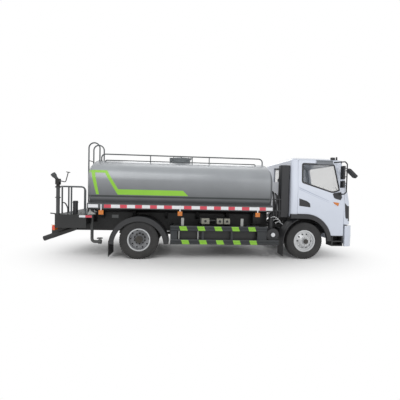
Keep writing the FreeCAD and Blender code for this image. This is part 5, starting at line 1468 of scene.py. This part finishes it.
@dataclass
class PlatformTrim:
    """Tape, chequer floor, box, lever, hook, lamps and plates at the rear platform."""

    lift: float = 0.0016
    seat: float = 0.0005
    side_strip: Fitting = Fitting("platform_side_strip", PALE_GREY, (
        ((-3.262, -1.2012, 1.071), (-2.942, -1.190, 1.130), 0.002),), mirrored=True)
    tape_z: Span = (1.073, 1.128)
    white_tape: Span = (-3.260, -3.104)
    red_tape: Span = (-3.104, -2.944)
    floor_x: Span = (-3.770, -3.140)
    floor_y: Span = (-1.10, 1.17)
    floor_depth: float = 0.003
    floor_bevel: float = 0.001
    lozenge: Outline = ((-0.010, -0.010), (0.003, -0.002), (0.010, 0.010), (-0.003, 0.002))
    lozenge_depth: float = 0.0025
    lozenge_start: Span = (-3.750, -1.085)
    lozenge_pitch: Span = (0.041, 0.0414)
    lozenge_count: tuple[int, int] = (15, 54)
    box_low: Span = (-3.455, -1.10)
    box_high: Corner = (-3.360, -0.98, 1.49)
    box_rim: tuple[Corner, Corner] = ((-3.462, -1.107, 1.44), (-3.353, -0.973, 1.462))
    box_bevel: float = 0.012
    rim_bevel: float = 0.006
    lever_foot: Span = (-3.60, -1.04)
    lever_line: tuple[Corner, ...] = ((-3.60, -1.04, 1.30), (-3.66, -1.04, 1.42),
                                      (-3.70, -1.04, 1.435))
    lever_bend: float = 0.05
    lever_radius: float = 0.016
    pedal: tuple[Corner, Corner] = ((-3.735, -1.065, 1.425), (-3.685, -1.015, 1.450))
    pedal_bevel: float = 0.008
    hook: tuple[Corner, ...] = (
        (-3.860, -1.16, 1.120), (-3.860, -1.16, 1.165), (-3.990, -1.16, 1.178),
        (-3.985, -1.16, 1.150), (-3.900, -1.16, 1.146))
    hook_width: float = 0.030
    bracket: tuple[Corner, ...] = ((-3.060, -1.19, 1.142), (-3.005, -1.19, 1.262),
                                   (-2.838, -1.19, 1.160))
    bracket_width: float = 0.012
    number_plate: Fitting = Fitting("blank_number_plate", PIPE_GREY, (
        ((-2.437, -1.1905, 1.071), (-2.273, -1.1865, 1.154), 0.002),))
    lamp_stems: Fitting = Fitting("lamp_stems", TAPE_WHITE, (
        ((-2.714, -1.2575, 1.272), (-2.686, -1.2545, 1.425), 0.001),
        ((-0.701, -1.2575, 1.272), (-0.673, -1.2545, 1.425), 0.001),
        ((1.365, -1.2575, 1.272), (1.393, -1.2545, 1.425), 0.001)), mirrored=True)
    tail_lenses: Fitting = Fitting("tail_lenses", RED_LENS, (
        ((-3.924, -1.1925, 0.742), (-3.864, -1.010, 0.852), 0.004),), mirrored=True)

    @property
    def top(self) -> float:
        """The height at which things stand on the platform."""
        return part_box("rear_platform")[1][2] + self.seat

    def build(self) -> None:
        """Makes what is fitted to the platform."""
        self.side_strip.build()
        self.tape()
        self.floor()
        self.tool_box()
        self.lever()
        hook = Forge("tail_hook", PLASTIC)
        hook.plate(self.hook, (0, self.hook_width, 0)).publish()
        bracket = Forge("step_bracket", PALE_GREY)
        bracket.plate(self.bracket, (0, self.bracket_width, 0)).mirror().publish()
        for fitting in (self.number_plate, self.lamp_stems, self.tail_lenses):
            fitting.build()

    def tape(self) -> None:
        """Lays the white and the red tape on the platform's sides."""
        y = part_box("rear_platform")[0][1] - self.lift
        for name, finish, ends in (("platform_tape_white", TAPE_WHITE, self.white_tape),
                                   ("platform_tape_red", TAPE_RED, self.red_tape)):
            Forge(name, finish).strip(ends, y, self.tape_z).mirror().publish()

    def floor(self) -> None:
        """Makes the chequer plate with its leaning lozenges."""
        level = self.top + self.floor_depth
        low = (self.floor_x[0], self.floor_y[0], self.top)
        piece = Forge("chequer_floor", CHEQUER)
        piece.block(low, (self.floor_x[1], self.floor_y[1], level), self.floor_bevel)
        start_x, start_y = self.lozenge_start
        pitch_x, pitch_y = self.lozenge_pitch
        columns, rows = self.lozenge_count
        for j in range(rows):
            for i in range(columns):
                x = start_x + (i + (j % 2) / 2) * pitch_x
                y = start_y + j * pitch_y
                lean = 1 if (i + j) % 2 else -1
                piece.plate([(x + dx * lean, y + dy, level) for dx, dy in self.lozenge],
                            (0, 0, self.lozenge_depth))
        piece.publish()

    def tool_box(self) -> None:
        """Makes the upright box with its rim."""
        piece = Forge("tool_box", PLASTIC)
        piece.block((*self.box_low, self.top), self.box_high, self.box_bevel)
        piece.block(*self.box_rim, self.rim_bevel).publish()

    def lever(self) -> None:
        """Makes the bent foot lever with its pedal."""
        piece = Forge("foot_lever", PIPE_GREY)
        line = bent([(*self.lever_foot, self.top), *self.lever_line], self.lever_bend)
        piece.tube(line, self.lever_radius).block(*self.pedal, self.pedal_bevel).publish()


@dataclass(frozen=True)
class SoftBox:
    """A square studio lamp, turned by degrees about the three axes."""

    name: str
    place: Corner
    turn: Corner
    size: float
    power: float

    def build(self) -> None:
        """Hangs the lamp in the studio."""
        data = bpy.data.lights.new(self.name, "AREA")
        data.size = self.size
        data.energy = self.power
        lamp = bpy.data.objects.new(self.name, data)
        lamp.location = self.place
        lamp.rotation_euler = Euler([math.radians(angle) for angle in self.turn])
        bpy.context.scene.collection.objects.link(lamp)


@dataclass
class Studio:
    """The floor, the lights, the background and the camera."""

    focal: float = 25.33
    sensor: float = 36.0
    place: Corner = (-0.750, -8.6, 1.817)
    yaw: float = 4.5
    pitch: float = 1.82
    roll: float = 1.335
    floor_half: float = 60.0
    floor_grey: float = 0.82
    floor_roughness: float = 0.9
    floor_squash: float = 0.62
    fade: Span = (1.6, 3.6)
    sky_strength: float = 0.62
    lamps: tuple[SoftBox, ...] = (
        SoftBox("key", (-4, -9, 9), (42, 0, -22), 9, 620),
        SoftBox("fill", (7, -10, 5), (62, 0, 32), 8, 240),
        SoftBox("back", (0, 9, 8), (-48, 0, 0), 9, 300))

    def build(self) -> None:
        """Sets the stage."""
        self.floor()
        for lamp in self.lamps:
            lamp.build()
        self.world()
        self.camera()
        bpy.context.scene.view_settings.view_transform = "Standard"

    def floor(self) -> None:
        """Lays a pale floor that carries the shadow."""
        mesh = bmesh.new()
        bmesh.ops.create_grid(mesh, x_segments=2, y_segments=2, size=self.floor_half)
        data = bpy.data.meshes.new("floor")
        mesh.to_mesh(data)
        mesh.free()
        thing = bpy.data.objects.new("floor", data)
        bpy.context.scene.collection.objects.link(thing)
        data.materials.append(self.floor_material())

    def floor_material(self) -> bpy.types.Material:
        """Makes the floor's material, which fades to white away from the truck.

        Returns:
            The material.
        """
        made = bpy.data.materials.new("pale_floor")
        made.use_nodes = True
        nodes = made.node_tree.nodes
        wiring = Wiring(made.node_tree)
        grey = self.floor_grey
        shader = wiring.fill(nodes["Principled BSDF"], {
            "Roughness": self.floor_roughness, "Base Color": (grey, grey, grey, 1)})
        place = wiring.add("ShaderNodeTexCoord", {}).outputs["Object"]
        flat = wiring.add("ShaderNodeMapping", {
            "Vector": place, "Scale": (self.floor_squash, 1, 1)})
        far = wiring.maths("ShaderNodeVectorMath", "LENGTH", {0: flat.outputs["Vector"]})
        fade = wiring.add("ShaderNodeMapRange", {
            "Value": far.outputs["Value"], "From Min": self.fade[0], "From Max": self.fade[1]})
        fade.interpolation_type = "SMOOTHSTEP"
        bright = wiring.add("ShaderNodeEmission", {"Strength": 1})
        mix = wiring.add("ShaderNodeMixShader", {
            "Fac": fade.outputs["Result"], 1: shader.outputs["BSDF"],
            2: bright.outputs["Emission"]})
        wiring.fill(nodes["Material Output"], {"Surface": mix.outputs["Shader"]})
        return made

    def world(self) -> None:
        """Makes a soft grey sky that shows as white to the eye, to glass and to gloss."""
        made = bpy.data.worlds.new("studio_sky")
        bpy.context.scene.world = made
        made.use_nodes = True
        made.node_tree.nodes.clear()
        wiring = Wiring(made.node_tree)
        sky, white = [
            wiring.add("ShaderNodeBackground", {"Color": (1, 1, 1, 1), "Strength": strength})
            for strength in (self.sky_strength, 1.0)]
        rays = wiring.add("ShaderNodeLightPath", {}).outputs
        seen = rays["Is Camera Ray"]
        for ray in ("Is Transmission Ray", "Is Glossy Ray"):
            seen = wiring.maths("ShaderNodeMath", "MAXIMUM",
                                {0: seen, 1: rays[ray]}).outputs["Value"]
        mix = wiring.add("ShaderNodeMixShader", {
            "Fac": seen, 1: sky.outputs["Background"], 2: white.outputs["Background"]})
        wiring.add("ShaderNodeOutputWorld", {"Surface": mix.outputs["Shader"]})

    def camera(self) -> None:
        """Sets the camera at the photograph's viewing angle."""
        data = bpy.data.cameras.new("camera")
        data.lens = self.focal
        data.sensor_width = self.sensor
        thing = bpy.data.objects.new("camera", data)
        bpy.context.scene.collection.objects.link(thing)
        turn = Matrix.Rotation(math.radians(-self.yaw), 4, "Z")
        turn = turn @ Matrix.Rotation(math.radians(90 - self.pitch), 4, "X")
        turn = turn @ Matrix.Rotation(math.radians(self.roll), 4, "Z")
        thing.matrix_world = Matrix.Translation(self.place) @ turn
        bpy.context.scene.camera = thing


def main() -> None:
    """Builds the stage and every sub-assembly."""
    logging.basicConfig(level=logging.INFO, format="%(message)s")
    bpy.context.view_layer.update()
    for part in (Studio(), NodeFinishes(), Tyres(), WheelTrim(), TankGraphics(),
                 ManholeTrim(), GuardTrim(), HoseTrim(), CabTrim(), PlatformTrim()):
        part.build()
        LOG.info("built %s", type(part).__name__)


if __name__ == "__main__":
    main()
